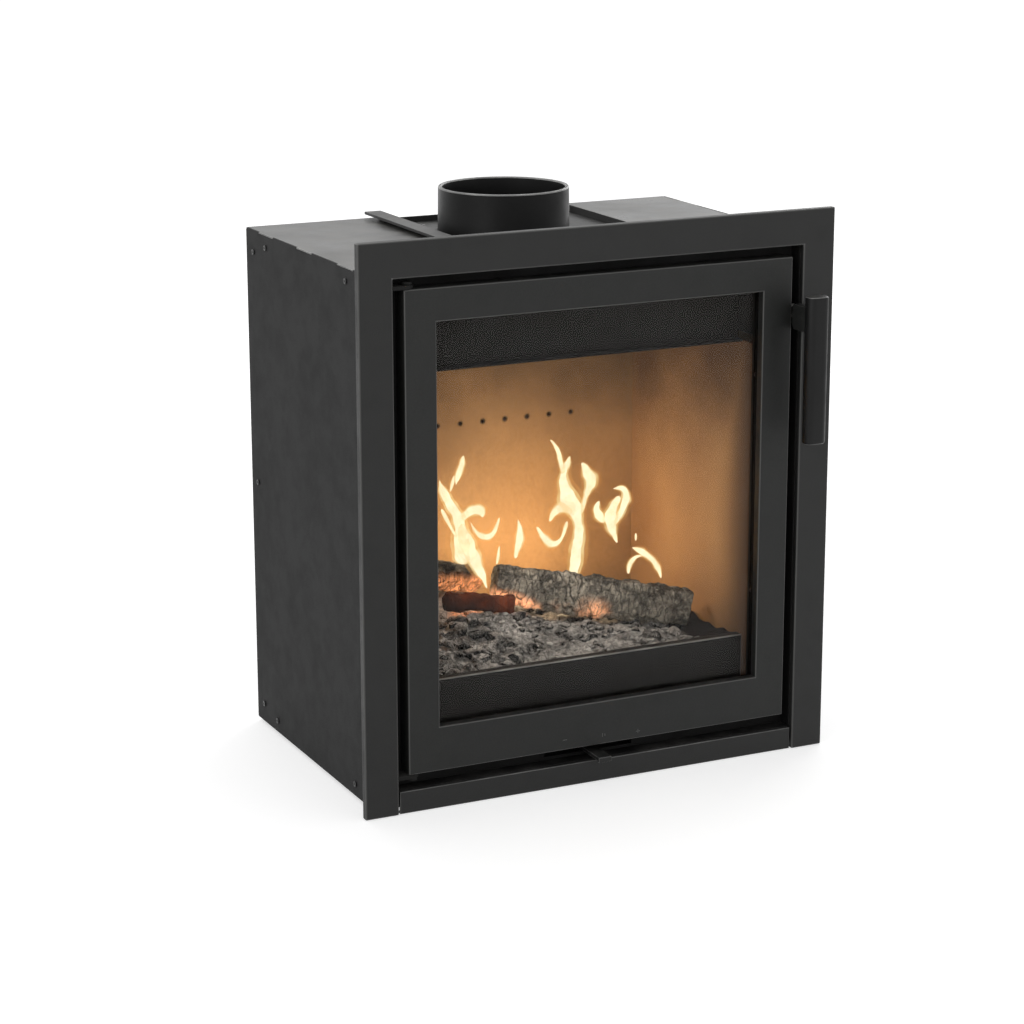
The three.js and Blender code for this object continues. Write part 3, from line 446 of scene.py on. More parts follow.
def ember_spot_effect():
    """Patchy heat round one place of a log."""
    group, given, out = effect(
        "ember_spot", [("Centre", Vector((0.0, 0.0, 0.0))), ("Reach", 0.03)], [("Heat", "Float")]
    )
    place = object_place(group)
    away = vectors(group, "DISTANCE", place, given["Centre"])["Value"]
    core = times(group, given["Reach"], 0.35)
    near = span(group, away, core, given["Reach"], 1.0, 0.0, smooth_step=True)
    patch = span(group, noise(group, place, 60.0, 4.0, 0.65), 0.36, 0.62, 0.25, 1.0)
    join(group, out, Heat=times(group, near, patch))
    return group


def board_flakes_effect():
    """Pressed vermiculite: flakes with grain between them, in two slow shades."""
    group, given, out = effect(
        "board_flakes",
        [("Clean", (0.4, 0.23, 0.1)), ("Warm", (0.46, 0.26, 0.11))],
        [("Color", "Color"), ("Height", "Float")],
    )
    place = object_place(group)
    flakes = add(group, "TexVoronoi", {"Scale": 260.0, "Randomness": 1.0})
    group.links.new(place, flakes.inputs["Vector"])
    grain = noise(group, place, 700.0, 2.0)
    patch = span(group, noise(group, place, 11.0, 4.0, 0.6), 0.3, 0.7)
    flake_shade = span(group, flakes.outputs["Distance"], 0.0, 0.9, 1.08, 0.86)
    grain_shade = span(group, grain, 0.3, 0.7, 0.93, 1.06)
    speckle = times(group, flake_shade, grain_shade)
    join(
        group, out,
        Color=shade(group, tint(group, patch, given["Clean"], given["Warm"]), speckle),
        Height=maths(group, "ADD", flakes.outputs["Distance"], grain),
    )
    return group


def yarn_weave_effect():
    """Two crossing sets of glass-fibre yarns that follow the piece's own UV map."""
    group, given, out = effect(
        "yarn_weave", [("Pitch", 260.0)], [("Color", "Color"), ("Height", "Float")]
    )
    laid = split(group, add(group, "UVMap").outputs["UV"])
    along = times(group, laid["X"], given["Pitch"])
    across = times(group, laid["Y"], 6.0)
    yarns = []
    for operation in ("ADD", "SUBTRACT"):
        turns = times(group, maths(group, operation, along, across), 2 * math.pi)
        yarns.append(maths(group, "SINE", turns))
    weave = maths(group, "MAXIMUM", yarns[0], yarns[1])
    place = object_place(group)
    fibre = noise(group, place, 900.0, 3.0, 0.7)
    worn = span(group, noise(group, place, 30.0, 3.0), 0.45, 0.75)
    # The gap colour is painted shade between the yarns.
    painted_gap_shade, yarn, sooty = (0.018, 0.017, 0.016), (0.13, 0.125, 0.115), (0.05, 0.046, 0.042)
    colour = tint(group, span(group, weave, -0.4, 1.0), painted_gap_shade, yarn)
    join(
        group, out,
        Color=tint(group, worn, colour, sooty),
        Height=maths(group, "ADD", weave, fibre),
    )
    return group


def flame_waver_effect():
    """How a flame's light wavers from place to place."""
    group, _, out = effect("flame_waver", [], [("Mask", "Float")])
    join(group, out, Mask=span(group, noise(group, object_place(group), 55.0, 3.0), 0.35, 0.65))
    return group


paint_film = paint_film_effect()
front_rim_highlight = front_rim_highlight_effect()
soot_drift = soot_effect()
char_crust = char_effect()
ember_spot = ember_spot_effect()
board_flakes = board_flakes_effect()
yarn_weave = yarn_weave_effect()
flame_waver = flame_waver_effect()


# ---- Materials ----
def stove_paint(
    name, paint, faded, dust=0.2, specular=0.4, mottle=7.0, sheen=(0.42, 0.58), grain=0.35,
    rim_highlight_colour=None,
):
    """Stove paint; the edge colour, where given, is a painted highlight on a front plate's narrow
    rounded edges.
    """
    material, tree, shader = new_material(name, specular)
    film = place_effect(
        tree, paint_film, Paint=paint, Faded=faded, Dust=dust, Mottle=mottle,
        Smooth=sheen[0], Rough=sheen[1],
    )
    colour = film["Color"]
    if rim_highlight_colour:
        # A painted highlight on the narrow rounded front edges.
        rim = place_effect(tree, front_rim_highlight)
        colour = tint(tree, rim["Mask"], colour, rim_highlight_colour)
    join(tree, shader, Base_Color=colour, Roughness=film["Roughness"])
    bump(tree, shader, film["Height"], grain, 0.00025)
    return material


def pressed_board(name, clean, warm, sooty, soot_from, soot_to, smoky_front=None, holes=None):
    """Vermiculite board, with soot towards the top, the front edge and round its air holes.

    Holes are the pitch of a centred row, its height and the radius of one hole."""
    material, tree, shader = new_material(name, 0.1, roughness=0.95)
    board = place_effect(tree, board_flakes, Clean=clean, Warm=warm)
    soot = place_effect(tree, soot_drift, Clean_Below=soot_from, Black_Above=soot_to, Drift=0.05)
    dark = soot["Mask"]
    if smoky_front:
        back = split(tree, object_place(tree))["Y"]
        front = span(tree, back, *smoky_front, 1.0, 0.0, smooth_step=True)
        dark = maths(tree, "MAXIMUM", dark, front)
    if holes:
        pitch, level, edge = holes
        place = split(tree, object_place(tree))
        aside = maths(tree, "PINGPONG", place["X"], pitch / 2)
        above = maths(tree, "SUBTRACT", place["Z"], level)
        across, along = maths(tree, "POWER", aside, 2.0), times(tree, above, above)
        away = maths(tree, "SQRT", maths(tree, "ADD", across, along))
        ring = span(tree, away, edge, 2.6 * edge, 0.95, 0.0, smooth_step=True)
        row_end = maths(tree, "ABSOLUTE", place["X"])
        row = span(tree, row_end, 4.4 * pitch, 4.5 * pitch, 1.0, 0.0)
        dark = maths(tree, "MAXIMUM", dark, times(tree, ring, row))
    join(tree, shader, Base_Color=tint(tree, dark, board["Color"], sooty))
    bump(tree, shader, board["Height"], 0.06, 0.0004)
    return material


def charred_wood(
    name, along, blocks, stretch, char, ash, cover, flecks, embers=(), heat=2.0, rims=0.5,
    swept=None, cracks=1.0, glow=(1.0, 0.33, 0.11), top_ash=1.0,
):
    """Burnt wood whose grain runs along a direction.

    Embers are (x, y, z, reach) in mm of the places that glow between its cracks.
    Where swept is given, the ash thins out to soot from its first x to its second."""
    material, tree, shader = new_material(name, 0.2, roughness=0.92)
    crust = place_effect(
        tree, char_crust, Along=along, Blocks=blocks, Stretch=stretch, Char=char,
        Ash=ash, Ash_Cover=cover, Flecks=flecks, Rims=rims, Cracks=cracks, Top_Ash=top_ash,
    )
    colour = crust["Color"]
    if swept:
        bare = span(tree, split(tree, object_place(tree))["X"], *swept, smooth_step=True)
        colour = tint(tree, bare, colour, (0.022, 0.018, 0.017))
    join(tree, shader, Base_Color=colour)
    bump(tree, shader, crust["Height"], 0.9, 0.0022)
    if embers:
        warmth = 0.0
        for x, y, z, reach in embers:
            spot = place_effect(tree, ember_spot, Centre=(x * MM, y * MM, z * MM), Reach=reach * MM)
            warmth = maths(tree, "MAXIMUM", spot["Heat"], warmth)
        hot = times(tree, warmth, span(tree, crust["Crack"], 0.0, 0.8, 1.0, 0.05))
        shine = tint(tree, hot, grey(0.0), glow)
        join(tree, shader, Emission_Color=shine, Emission_Strength=heat)
    return material


def woven_rope(name, pitch):
    """Glass-fibre rope or tape, laid along the piece's own UV map."""
    material, tree, shader = new_material(name, 0.2, roughness=0.95)
    weave = place_effect(tree, yarn_weave, Pitch=pitch)
    join(tree, shader, Base_Color=weave["Color"])
    bump(tree, shader, weave["Height"], 0.8, 0.0008)
    return material


def zinc_plate(name):
    """Plated steel, in slow clouds between a dull and a bright shade."""
    material, tree, shader = new_material(name, metallic=1.0)
    place = object_place(tree)
    cloud = noise(tree, place, 90.0, 4.0)
    join(
        tree, shader,
        Base_Color=tint(tree, cloud, (0.42, 0.42, 0.40), (0.62, 0.61, 0.58)),
        Roughness=span(tree, cloud, 0.3, 0.7, 0.28, 0.45),
    )
    bump(tree, shader, noise(tree, place, 1500.0, 2.0), 0.2, 0.0001)
    return material


def rough_casting(name):
    """Cast iron: pits, with rust in patches."""
    material, tree, shader = new_material(name, 0.35)
    place = object_place(tree)
    pits = add(tree, "TexVoronoi", {"Scale": 520.0})
    tree.links.new(place, pits.inputs["Vector"])
    rust = span(tree, noise(tree, place, 60.0, 5.0, 0.65), 0.4, 0.7)
    join(
        tree, shader,
        Base_Color=tint(tree, rust, (0.028, 0.027, 0.026), (0.085, 0.06, 0.045)),
        Roughness=span(tree, rust, 0.0, 1.0, 0.6, 0.88),
    )
    bump(tree, shader, pits.outputs["Distance"], 0.6, 0.0006)
    return material


def window_glass(name):
    """Clear glass ceramic with a smoky film towards its edges."""
    material, tree, shader = new_material(name, 0.1, roughness=0.0)
    place = object_place(tree)
    where = split(tree, place)
    middle_height = 0.315
    edge_x = span(tree, maths(tree, "ABSOLUTE", where["X"]), 0.165, 0.20)
    from_middle = maths(tree, "SUBTRACT", where["Z"], middle_height)
    edge_z = span(tree, maths(tree, "ABSOLUTE", from_middle), 0.17, 0.225)
    edge = maths(tree, "MAXIMUM", edge_x, edge_z)
    film = times(tree, edge, span(tree, noise(tree, place, 22.0, 4.0), 0.3, 0.7))
    join(
        tree, shader,
        Base_Color=tint(tree, film, (0.99, 0.975, 0.95), (0.86, 0.82, 0.76)),
        Transmission_Weight=1.0,
        IOR=1.38,
        Specular_Tint=grey(0.2),
    )
    return material


def flame_light(name, colour, strength, alpha):
    """One shell of a flame; its cover wavers with the place on it."""
    material, tree, shader = new_material(name, 0.0, roughness=1.0)
    waver = place_effect(tree, flame_waver)["Mask"]
    join(
        tree, shader,
        Base_Color=grey(0.0),
        Emission_Color=tint(tree, waver, colour[0], colour[1]),
        Emission_Strength=strength,
        Alpha=span(tree, waver, 0.0, 1.0, *alpha),
    )
    return material


# The door and surround paints carry a painted highlight on their rounded front edges.
door_paint = stove_paint(
    "door_stove_paint", (0.0125, 0.013, 0.0122), (0.016, 0.0165, 0.0155), 0.08, 0.3,
    rim_highlight_colour=(0.085, 0.085, 0.082),
)
handle_paint = stove_paint(
    "handle_stove_paint", (0.0125, 0.013, 0.0122), (0.016, 0.0165, 0.0155), 0.08, 0.3
)
surround_paint = stove_paint(
    "surround_stove_paint", (0.016, 0.016, 0.0155), (0.020, 0.020, 0.0195), 0.12, 0.3,
    rim_highlight_colour=(0.095, 0.095, 0.092),
)
grip_paint = stove_paint(
    "handle_black_coat", grey(0.004), grey(0.007), 0.1, 0.22, 18.0, (0.42, 0.52)
)
side_paint = stove_paint(
    "side_panel_paint", grey(0.035), grey(0.038), 0.1, 0.1, 4.0, (0.72, 0.76)
)
cover_paint = stove_paint(
    "top_cover_paint", (0.040, 0.040, 0.039), (0.054, 0.054, 0.052), 0.35, 0.42, 9.0, (0.32, 0.46)
)
strap_paint = stove_paint(
    "top_strap_paint", grey(0.030), (0.045, 0.045, 0.044), 0.3, 0.4, 12.0, (0.48, 0.62)
)
collar_paint = stove_paint(
    "flue_collar_paint", grey(0.0035), grey(0.006), 0.1, 0.18, 14.0, (0.34, 0.46)
)
inner_steel = stove_paint(
    "firebox_steel_paint", grey(0.007), (0.011, 0.0105, 0.010), 0.1, 0.2, 16.0, (0.62, 0.78),
    0.12,
)
screw_black = stove_paint(
    "black_screw_finish", grey(0.006), grey(0.012), 0.0, 0.5, 60.0, (0.3, 0.42)
)
# Painted highlights: light paint on rounded bevel faces stands in for the light those edges catch.
bevel_highlight_paint = stove_paint(
    "painted_bevel_highlight", (0.065, 0.065, 0.063), (0.15, 0.148, 0.144), 0.1, 0.5, 26.0, (0.34, 0.46)
)
cover_bevel_highlight = stove_paint(
    "cover_bevel_highlight", (0.16, 0.16, 0.157), (0.36, 0.36, 0.35), 0.1, 0.5, 40.0, (0.34, 0.46)
)
mark_paint = stove_paint(
    "scale_mark_paint", (0.07, 0.07, 0.068), (0.10, 0.10, 0.097), 0.0, 0.4, 60.0, (0.5, 0.6)
)
zinc = zinc_plate("zinc_plated_steel")
casting = rough_casting("rough_iron_casting")
clear_glass = window_glass("clear_glass_ceramic")
air_hole_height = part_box("lining_back")[1][2] - 127.4 * MM
back_board = pressed_board(
    "back_board_vermiculite", (0.40, 0.225, 0.095), (0.46, 0.262, 0.112), (0.085, 0.052, 0.028),
    0.26, 0.49, holes=(29.1 * MM, air_hole_height, 2.2 * MM),
)
side_board = pressed_board(
    "side_board_vermiculite", (0.37, 0.20, 0.086), (0.43, 0.245, 0.105), (0.075, 0.045, 0.028),
    0.27, 0.50, smoky_front=(0.03, 0.11),
)
floor_board = pressed_board(
    "floor_board_vermiculite", (0.16, 0.12, 0.085), (0.24, 0.17, 0.11), (0.1, 0.08, 0.06), 0.5, 0.6
)
rope_weave = woven_rope("door_rope_weave", 260.0)
tape_weave = woven_rope("glass_tape_weave", 300.0)

flame_core = flame_light(
    "flame_core", ((1.0, 0.93, 0.62), (1.0, 0.97, 0.78)), 1.35, (0.92, 1.0)
)
flame_body = flame_light(
    "flame_body", ((1.0, 0.62, 0.20), (1.0, 0.80, 0.40)), 1.0, (0.18, 0.55)
)
flame_halo = flame_light(
    "flame_halo", ((1.0, 0.40, 0.09), (1.0, 0.52, 0.16)), 0.9, (0.03, 0.17)
)

main_char = charred_wood(
    "main_log_char", (0.95, -0.27, -0.19), 92.0, 0.36,
    char=(0.055, 0.049, 0.041), ash=(0.43, 0.385, 0.31), cover=0.84, flecks=0.4,
    embers=[(5, 110, 154, 37), (45, 104, 151, 37), (-42, 168, 166, 32), (-22, 160, 158, 26)],
    heat=2.1, rims=0.8, glow=(1.0, 0.42, 0.19), top_ash=-0.6,
)
rear_char = charred_wood(
    "rear_log_char", (0.99, 0.11, -0.19), 105.0, 0.5,
    char=(0.010, 0.010, 0.009), ash=(0.17, 0.155, 0.135), cover=0.50, flecks=0.4,
    embers=[(-108, 212, 172, 32), (-80, 214, 168, 32), (-50, 218, 166, 30)],
    heat=1.7, rims=0.6, glow=(1.0, 0.36, 0.13),
)
front_char = charred_wood(
    "front_log_char", (0.99, 0.0, -0.17), 120.0, 0.5,
    char=(0.035, 0.010, 0.006), ash=(0.13, 0.055, 0.03), cover=0.4, flecks=0.2,
    embers=[(-45, 148, 184, 34), (-75, 150, 198, 32), (-105, 152, 204, 32)],
    heat=0.14, glow=(0.9, 0.17, 0.04),
)
ash_heap = charred_wood(
    "ash_bed", (1.0, 0.0, 0.0), 105.0, 0.95,
    char=(0.050, 0.048, 0.045), ash=(0.62, 0.59, 0.55), cover=0.60, flecks=1.0,
    embers=[(-70, 190, 172, 46), (-30, 180, 160, 36), (-110, 190, 172, 34)],
    heat=1.2, rims=0.8, swept=(0.105, 0.15), cracks=0.45,
)
coal_lump = charred_wood(
    "coal_lump", (1.0, 0.0, 0.0), 150.0, 0.8,
    char=(0.018, 0.018, 0.017), ash=(0.60, 0.57, 0.53), cover=0.56, flecks=0.9,
    embers=[(-60, 190, 175, 40)], heat=1.2, rims=1.0,
)
ash_flake = charred_wood(
    "ash_flake", (1.0, 0.0, 0.0), 300.0, 0.8,
    char=(0.36, 0.35, 0.33), ash=(0.74, 0.72, 0.68), cover=0.8, flecks=0.9,
)


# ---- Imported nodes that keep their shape: rounded edges and their finish ----
def finish_node(piece, material, edge, highlight_finish):
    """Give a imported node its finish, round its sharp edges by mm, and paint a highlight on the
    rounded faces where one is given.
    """
    piece.data.materials.clear()
    piece.data.materials.append(material)
    # The second slot is the painted highlight on the rounded faces; without one, it is the finish
    # itself.
    piece.data.materials.append(highlight_finish or material)
    if edge:
        weld = piece.modifiers.new("close_seams", "WELD")
        weld.merge_threshold = SEAM
        rounding = piece.modifiers.new("round_edges", "BEVEL")
        rounding.width = edge * MM
        rounding.segments = 2
        rounding.limit_method = "ANGLE"
        rounding.angle_limit = math.radians(40)
        rounding.material = 1


for node_names, finish, edge, highlight_finish in (
    ("surround_frame", surround_paint, 1.1, bevel_highlight_paint),
    ("surround_bottom_rail", surround_paint, 0.9, bevel_highlight_paint),
    ("door_frame", door_paint, 1.1, bevel_highlight_paint),
    # The top centre plate is black steel and takes the darker handle paint, partly as painted shade
    # beside the collar.
    ("air_lever top_centre_plate", handle_paint, 0.5, bevel_highlight_paint),
    ("casing_left casing_right casing_back casing_base", side_paint, 0.35, bevel_highlight_paint),
    ("top_cover_left top_cover_right", cover_paint, 0.45, cover_bevel_highlight),
    ("top_strap", strap_paint, 0.5, cover_bevel_highlight),
    (
        "firebox_front firebox_shell air_wash_deflector baffle_upper air_box air_duct"
        " rear_air_channel air_slider ash_pan support_rail_left support_rail_right"
        " glass_strip_left glass_strip_right glass_strip_top glass_strip_bottom",
        inner_steel, 0.5, None,
    ),
    ("log_retainer", inner_steel, 0.6, cover_bevel_highlight),
    ("hinge_lug_lower hinge_lug_upper", inner_steel, 0.3, None),
    ("lining_back", back_board, 0.0, None),
    ("lining_left lining_right", side_board, 0.8, None),
    ("lining_floor baffle_lower", floor_board, 0.8, None),
    ("grate", casting, 0.4, bevel_highlight_paint),
    ("door_glass", clear_glass, 0.0, None),
):
    for node_name in node_names.split():
        finish_node(nodes[node_name], finish, edge, highlight_finish)


# ---- Round parts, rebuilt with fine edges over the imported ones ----
def refine_round_part(node, make, body, slot, material, edge, highlight_finish=None):
    """A welded copy with clean faces, rounded rims that take a painted highlight where one is
    given, and smooth shading.
    """
    piece = merged_copy(node, f"{node}_{make}")
    piece.data.materials.append(material)
    with shaping(piece):
        bpy.ops.mesh.dissolve_limited(angle_limit=math.radians(1.0))
    round_edges(piece, edge * MM, 38, material=1)
    smooth(piece, 30)
    hand_over(piece, body, material, (node,))
    # The rounded rims take the painted highlight.
    piece.data.materials.append(highlight_finish or material)


ROUND_PARTS = [
    ("flue_collar", "turned", "body", "collar_paint", collar_paint, 0.6, cover_bevel_highlight),
    ("handle_grip", "moulded", "handle", "black_paint", grip_paint, 0.5, bevel_highlight_paint),
    ("handle_arm", "filed", "handle", "black_paint", handle_paint, 0.5, bevel_highlight_paint),
    ("handle_shaft", "turned", "door", "bare_steel", zinc, 0.4),
    ("latch_keeper", "turned", "body", "bare_steel", zinc, 0.3),
    ("hinge_pin_lower", "turned", "body", "bare_steel", inner_steel, 0.4),
    ("hinge_pin_upper", "turned", "body", "bare_steel", inner_steel, 0.4),
    ("air_inlet_spigot", "rolled", "body", "casing_paint", side_paint, 0.4),
]
for corner in ("front_left", "front_right", "rear_left", "rear_right"):
    ROUND_PARTS.append((f"levelling_foot_{corner}", "turned", "body", "bare_steel", zinc, 0.5))
for round_part in ROUND_PARTS:
    refine_round_part(*round_part)


# ---- Screws ----
def pan_head_screw(radius, height):
    """A pan-head screw with a socket, its axis along +Z and its seat at the origin."""
    bpy.ops.mesh.primitive_cylinder_add(
        vertices=24, radius=radius * MM, depth=height * MM, location=(0, 0, height * MM / 2)
    )
    screw = name_piece("pan_head_screw")
    top = height * MM

    def is_crown(face):
        return face.normal.z > 0.9

    with shaping(screw, is_crown):
        bpy.ops.mesh.inset(thickness=radius * 0.22 * MM)
        bpy.ops.transform.translate(value=(0, 0, 0.12 * height * MM))
        bpy.ops.mesh.inset(thickness=radius * 0.34 * MM)
        socket_floor = {"value": (0, 0, -0.5 * height * MM)}
        bpy.ops.mesh.extrude_region_move(TRANSFORM_OT_translate=socket_floor)
        bpy.ops.transform.resize(value=(0.8, 0.8, 1), center_override=(0, 0, top))
    round_edges(screw, 0.12 * radius * MM, 40)
    smooth(screw, 40)
    return screw


def facing(direction, place):
    """Matrix that stands a +Z piece at a place in mm, pointing along a direction."""
    turned = Vector(direction).to_track_quat("Z", "Y").to_matrix().to_4x4()
    return Matrix.Translation(Vector(place) * MM) @ turned


SIDE_SCREWS = [
    (341.8, 564.5), (303.4, 574.6), (68.3, 574.9), (344.0, 295.6), (341.2, 27.1), (298.5, 19.0),
    (63.7, 18.9),
]
set_out(
    pan_head_screw(3.3, 1.7),
    [facing((-1, 0, 0), (-270.0, y, z)) for y, z in SIDE_SCREWS]
    + [facing((1, 0, 0), (270.0, y, z)) for y, z in SIDE_SCREWS],
    "body", screw_black, "side_panel_screw",
)
set_out(
    pan_head_screw(3.3, 1.7),
    [facing((0, 1, 0), (x, 365.5, z)) for x in (-255, -90, 90, 255) for z in (14.0, 578.0)]
    + [facing((0, 1, 0), (x, 365.5, z)) for x in (-255, 255) for z in (205.0, 400.0)],
    "body", screw_black, "back_panel_screw",
)
set_out(
    pan_head_screw(2.4, 1.5),
    [facing((0, 1, 0), (x, 23.2, z)) for x in (-120, 0, 120) for z in (88.0, 542.0)]
    + [facing((0, 1, 0), (x, 23.2, z)) for x in (-201.5, 201.5) for z in (190.0, 440.0)],
    "door", screw_black, "glass_strip_screw",
)
set_out(
    pan_head_screw(5.0, 4.5),
    [facing((0, 0, 1), (x, y, 581.0)) for x, y in ((-76, 314), (-76, 92), (100, 314), (100, 92))],
    "body", screw_black, "centre_plate_bolt",
)


# ---- Collar weld and the generic air scale ----
def collar_weld():
    """A rippled weld bead where the collar meets its plate."""
    bpy.ops.mesh.primitive_torus_add(
        location=(0.0, 0.252, 0.5822), major_segments=180, minor_segments=10,
        major_radius=0.0765, minor_radius=0.0022,
    )
    bead = name_piece("collar_weld_bead")
    ripples = bpy.data.textures.new("weld_ripples", "CLOUDS")
    ripples.noise_scale = 0.004
    displace(bead, ripples, 0.0016)
    smooth(bead, 60)
    hand_over(bead, "body", collar_paint)


collar_weld()


def scale_mark(name, x, z, width, height):
    """A thin raised mark beside the air lever, on the door's lower rail."""
    bpy.ops.mesh.primitive_cube_add(size=1, location=(x * MM, 1.5 * MM, z * MM))
    bpy.context.object.scale = (width * MM, 0.3 * MM, height * MM)
    mark = name_piece(name)
    use_modifier(mark, "BEVEL", width=0.12 * MM, segments=2, limit_method="NONE")
    smooth(mark, 50)
    hand_over(mark, "door", mark_paint)


for mark_name, x, z, width, height in (
    ("low", -45.6, 54.7, 5.0, 0.9),
    ("middle", 1.2, 53.4, 0.9, 4.2),
    ("middle_short", 4.2, 53.4, 0.9, 2.6),
    ("high", 45.8, 51.3, 5.0, 0.9),
    ("high_upright", 45.8, 51.35, 0.9, 4.8),
):
    scale_mark(f"scale_mark_{mark_name}", x, z, width, height)


# ---- Rope seal round the door and tape under the glass ----
def loop_rope(name, node, half, low, high, corner, y, size, material, fineness=2):
    """A rope laid round a rounded rectangle in mm, as a mesh with its own UV map."""
    points = []
    for cx, cz, start in (
        (half - corner, high - corner, 0), (-half + corner, high - corner, 90),
        (-half + corner, low + corner, 180), (half - corner, low + corner, 270),
    ):
        for step in range(7):
            a = math.radians(start + 15 * step)
            points.append((cx + corner * math.cos(a), y, cz + corner * math.sin(a)))
    full = []
    for here, there in zip(points, points[1:] + points[:1]):
        here, there = Vector(here), Vector(there)
        parts = max(1, round((there - here).length / 6.0))
        full += [here.lerp(there, k / parts) for k in range(parts)]
    path = bpy.data.curves.new(name, "CURVE")
    path.dimensions = "3D"
    path.bevel_depth = size[0] / 2 * MM
    path.bevel_resolution = fineness
    line = path.splines.new("POLY")
    line.points.add(len(full) - 1)
    for point, place in zip(line.points, full):
        point.co = (*(place * MM), 1.0)
    line.use_cyclic_u = True
    hold(new_object(name, path))
    bpy.ops.object.convert(target="MESH")
    rope = bpy.context.object
    with shaping(rope):
        bpy.ops.transform.resize(value=(1, size[1] / size[0], 1), center_override=(0, y * MM, 0))
    face_outwards(rope)
    smooth(rope, 60)
    hand_over(rope, "door", material, (node,))


loop_rope(
    "door_rope_braid", "door_rope", 213.7, 75.8, 554.2, 10.0, 21.5, (9.6, 8.0), rope_weave, 4
)
loop_rope(
    "glass_tape_braid", "glass_gasket", 200.7, 88.8, 541.2, 2.0, 12.55, (7.6, 0.6), tape_weave
)


# ---- Fuel: burnt logs, ash bed, coal lumps and flakes ----
def block_texture(name, size):
    """Cell edges that part burnt wood into blocks."""
    texture = bpy.data.textures.new(name, "VORONOI")
    texture.weight_1 = -1.0
    texture.weight_2 = 1.0
    texture.noise_scale = size
    return texture


def cloud_texture(name, size, depth=3):
    texture = bpy.data.textures.new(name, "CLOUDS")
    texture.noise_scale = size
    texture.noise_depth = depth
    return texture


def burnt_log(node, direction, stretch, cracks, lumps, material, cuts):
    """A packed log cut fine, swollen in lumps and split by cracks across its length."""
    name = node + "_burnt"
    piece = merged_copy(node, name)
    with shaping(piece):
        bpy.ops.mesh.subdivide(number_cuts=cuts, smoothness=0.0)
    displace(piece, cloud_texture(name + "_lumps", 0.022), lumps * MM)
    guide = new_object(name + "_grain", None)
    middle = sum(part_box(node), Vector()) / 2
    turned = Vector(direction).to_track_quat("X", "Z").to_matrix().to_4x4()
    guide.matrix_world = (
        Matrix.Translation(middle) @ turned @ Matrix.Diagonal((stretch, 1.0, 1.0, 1.0))
    )
    bpy.context.view_layer.update()
    displace(
        piece, block_texture(name + "_blocks", 0.026), cracks * MM, 0.1,
        texture_coords="OBJECT", texture_coords_object=guide,
    )
    displace(piece, cloud_texture(name + "_crumbs", 0.0035), 1.6 * MM)
    bpy.data.objects.remove(guide)
    smooth(piece, 28)
    hand_over(piece, "body", material, (node,))


burnt_log("log_main", (218, -62, -43), 0.42, 8.0, 12.0, main_char, 9)
burnt_log("log_rear", (106, 12, -21), 0.6, 6.0, 9.0, rear_char, 7)
burnt_log("log_front", (83, 0, -14), 0.6, 5.5, 8.0, front_char, 6)


def ash_bed():
    """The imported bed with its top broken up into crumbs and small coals."""
    piece = merged_copy("ember_bed", "ash_bed_broken")
    cut_above, lift_above = 0.112, 0.118

    def is_top(face):
        return face.normal.z > 0.25 and face.center.z > cut_above

    with shaping(piece, is_top):
        bpy.ops.mesh.subdivide(number_cuts=4, smoothness=0.2)
    top = piece.vertex_groups.new(name="top")
    lifted = {
        corner
        for face in piece.data.polygons
        if face.normal.z > 0.1 and face.center.z > lift_above
        for corner in face.vertices
    }
    top.add(sorted(lifted), 1.0, "REPLACE")
    for name, kind, size, strength, level in (
        ("bed_lumps", cloud_texture, 0.022, 11.0, 0.45),
        ("bed_coals", block_texture, 0.016, 9.0, 0.3),
        ("bed_crumbs", cloud_texture, 0.004, 4.0, 0.5),
    ):
        displace(piece, kind(name, size), strength * MM, level, direction="Z", vertex_group="top")
    smooth(piece, 35)
    hand_over(piece, "body", ash_heap, ("ember_bed",))
    return piece


bed = ash_bed()


def lump_models(prefix, count, rough, seed):
    """A few broken lumps to copy from: a ball of flat facets, squashed and chipped."""
    chance = random.Random(seed)
    models = []
    for number in range(count):
        bpy.ops.mesh.primitive_ico_sphere_add(subdivisions=2, radius=1.0, location=(0, 0, 0))
        model = name_piece(f"{prefix}_{number}")
        for _ in range(4):
            way = Vector([chance.uniform(-1, 1) for _ in range(3)]).normalized()
            cut = way * chance.uniform(0.45, 0.75)
            with shaping(model):
                bpy.ops.mesh.bisect(plane_co=cut, plane_no=way, clear_outer=True, use_fill=True)
        displace(model, cloud_texture(f"{prefix}_chips_{number}", rough), 0.35)
        models.append(model)
    return models


def strew(name, models, count, area, sizes, flatness, sink, material, seed):
    """Strew copies of the models over the bed inside an area, and join them as one piece."""
    chance = random.Random(seed)
    above, down = 0.4, Vector((0, 0, -1))
    made = []
    while len(made) < count:
        x = chance.uniform(area[0], area[1]) * MM
        y = chance.uniform(area[2], area[3]) * MM
        struck, place, _, _ = bed.ray_cast(Vector((x, y, above)), down)
        size = chance.uniform(*sizes) * MM
        spin = Matrix.Rotation(chance.uniform(0, 6.28), 4, "Z")
        tilt = Matrix.Rotation(chance.uniform(-0.5, 0.5), 4, "X")
        length = size * chance.uniform(0.8, 1.5)
        thickness = size * flatness * chance.uniform(0.7, 1.2)
        model = chance.choice(models)
        if not struck:
            continue
        copy = new_object(name, model.data.copy())
        laid = Matrix.Translation(place + Vector((0, 0, sink * size)))
        copy.data.transform(laid @ (spin @ tilt @ Matrix.Diagonal((length, size, thickness, 1))))
        made.append(copy)
    clear_bench()
    for copy in made:
        copy.select_set(True)
    bpy.context.view_layer.objects.active = made[0]
    bpy.ops.object.join()
    piece = bpy.context.object
    piece.name = name
    smooth(piece, 25)
    hand_over(piece, "body", material)


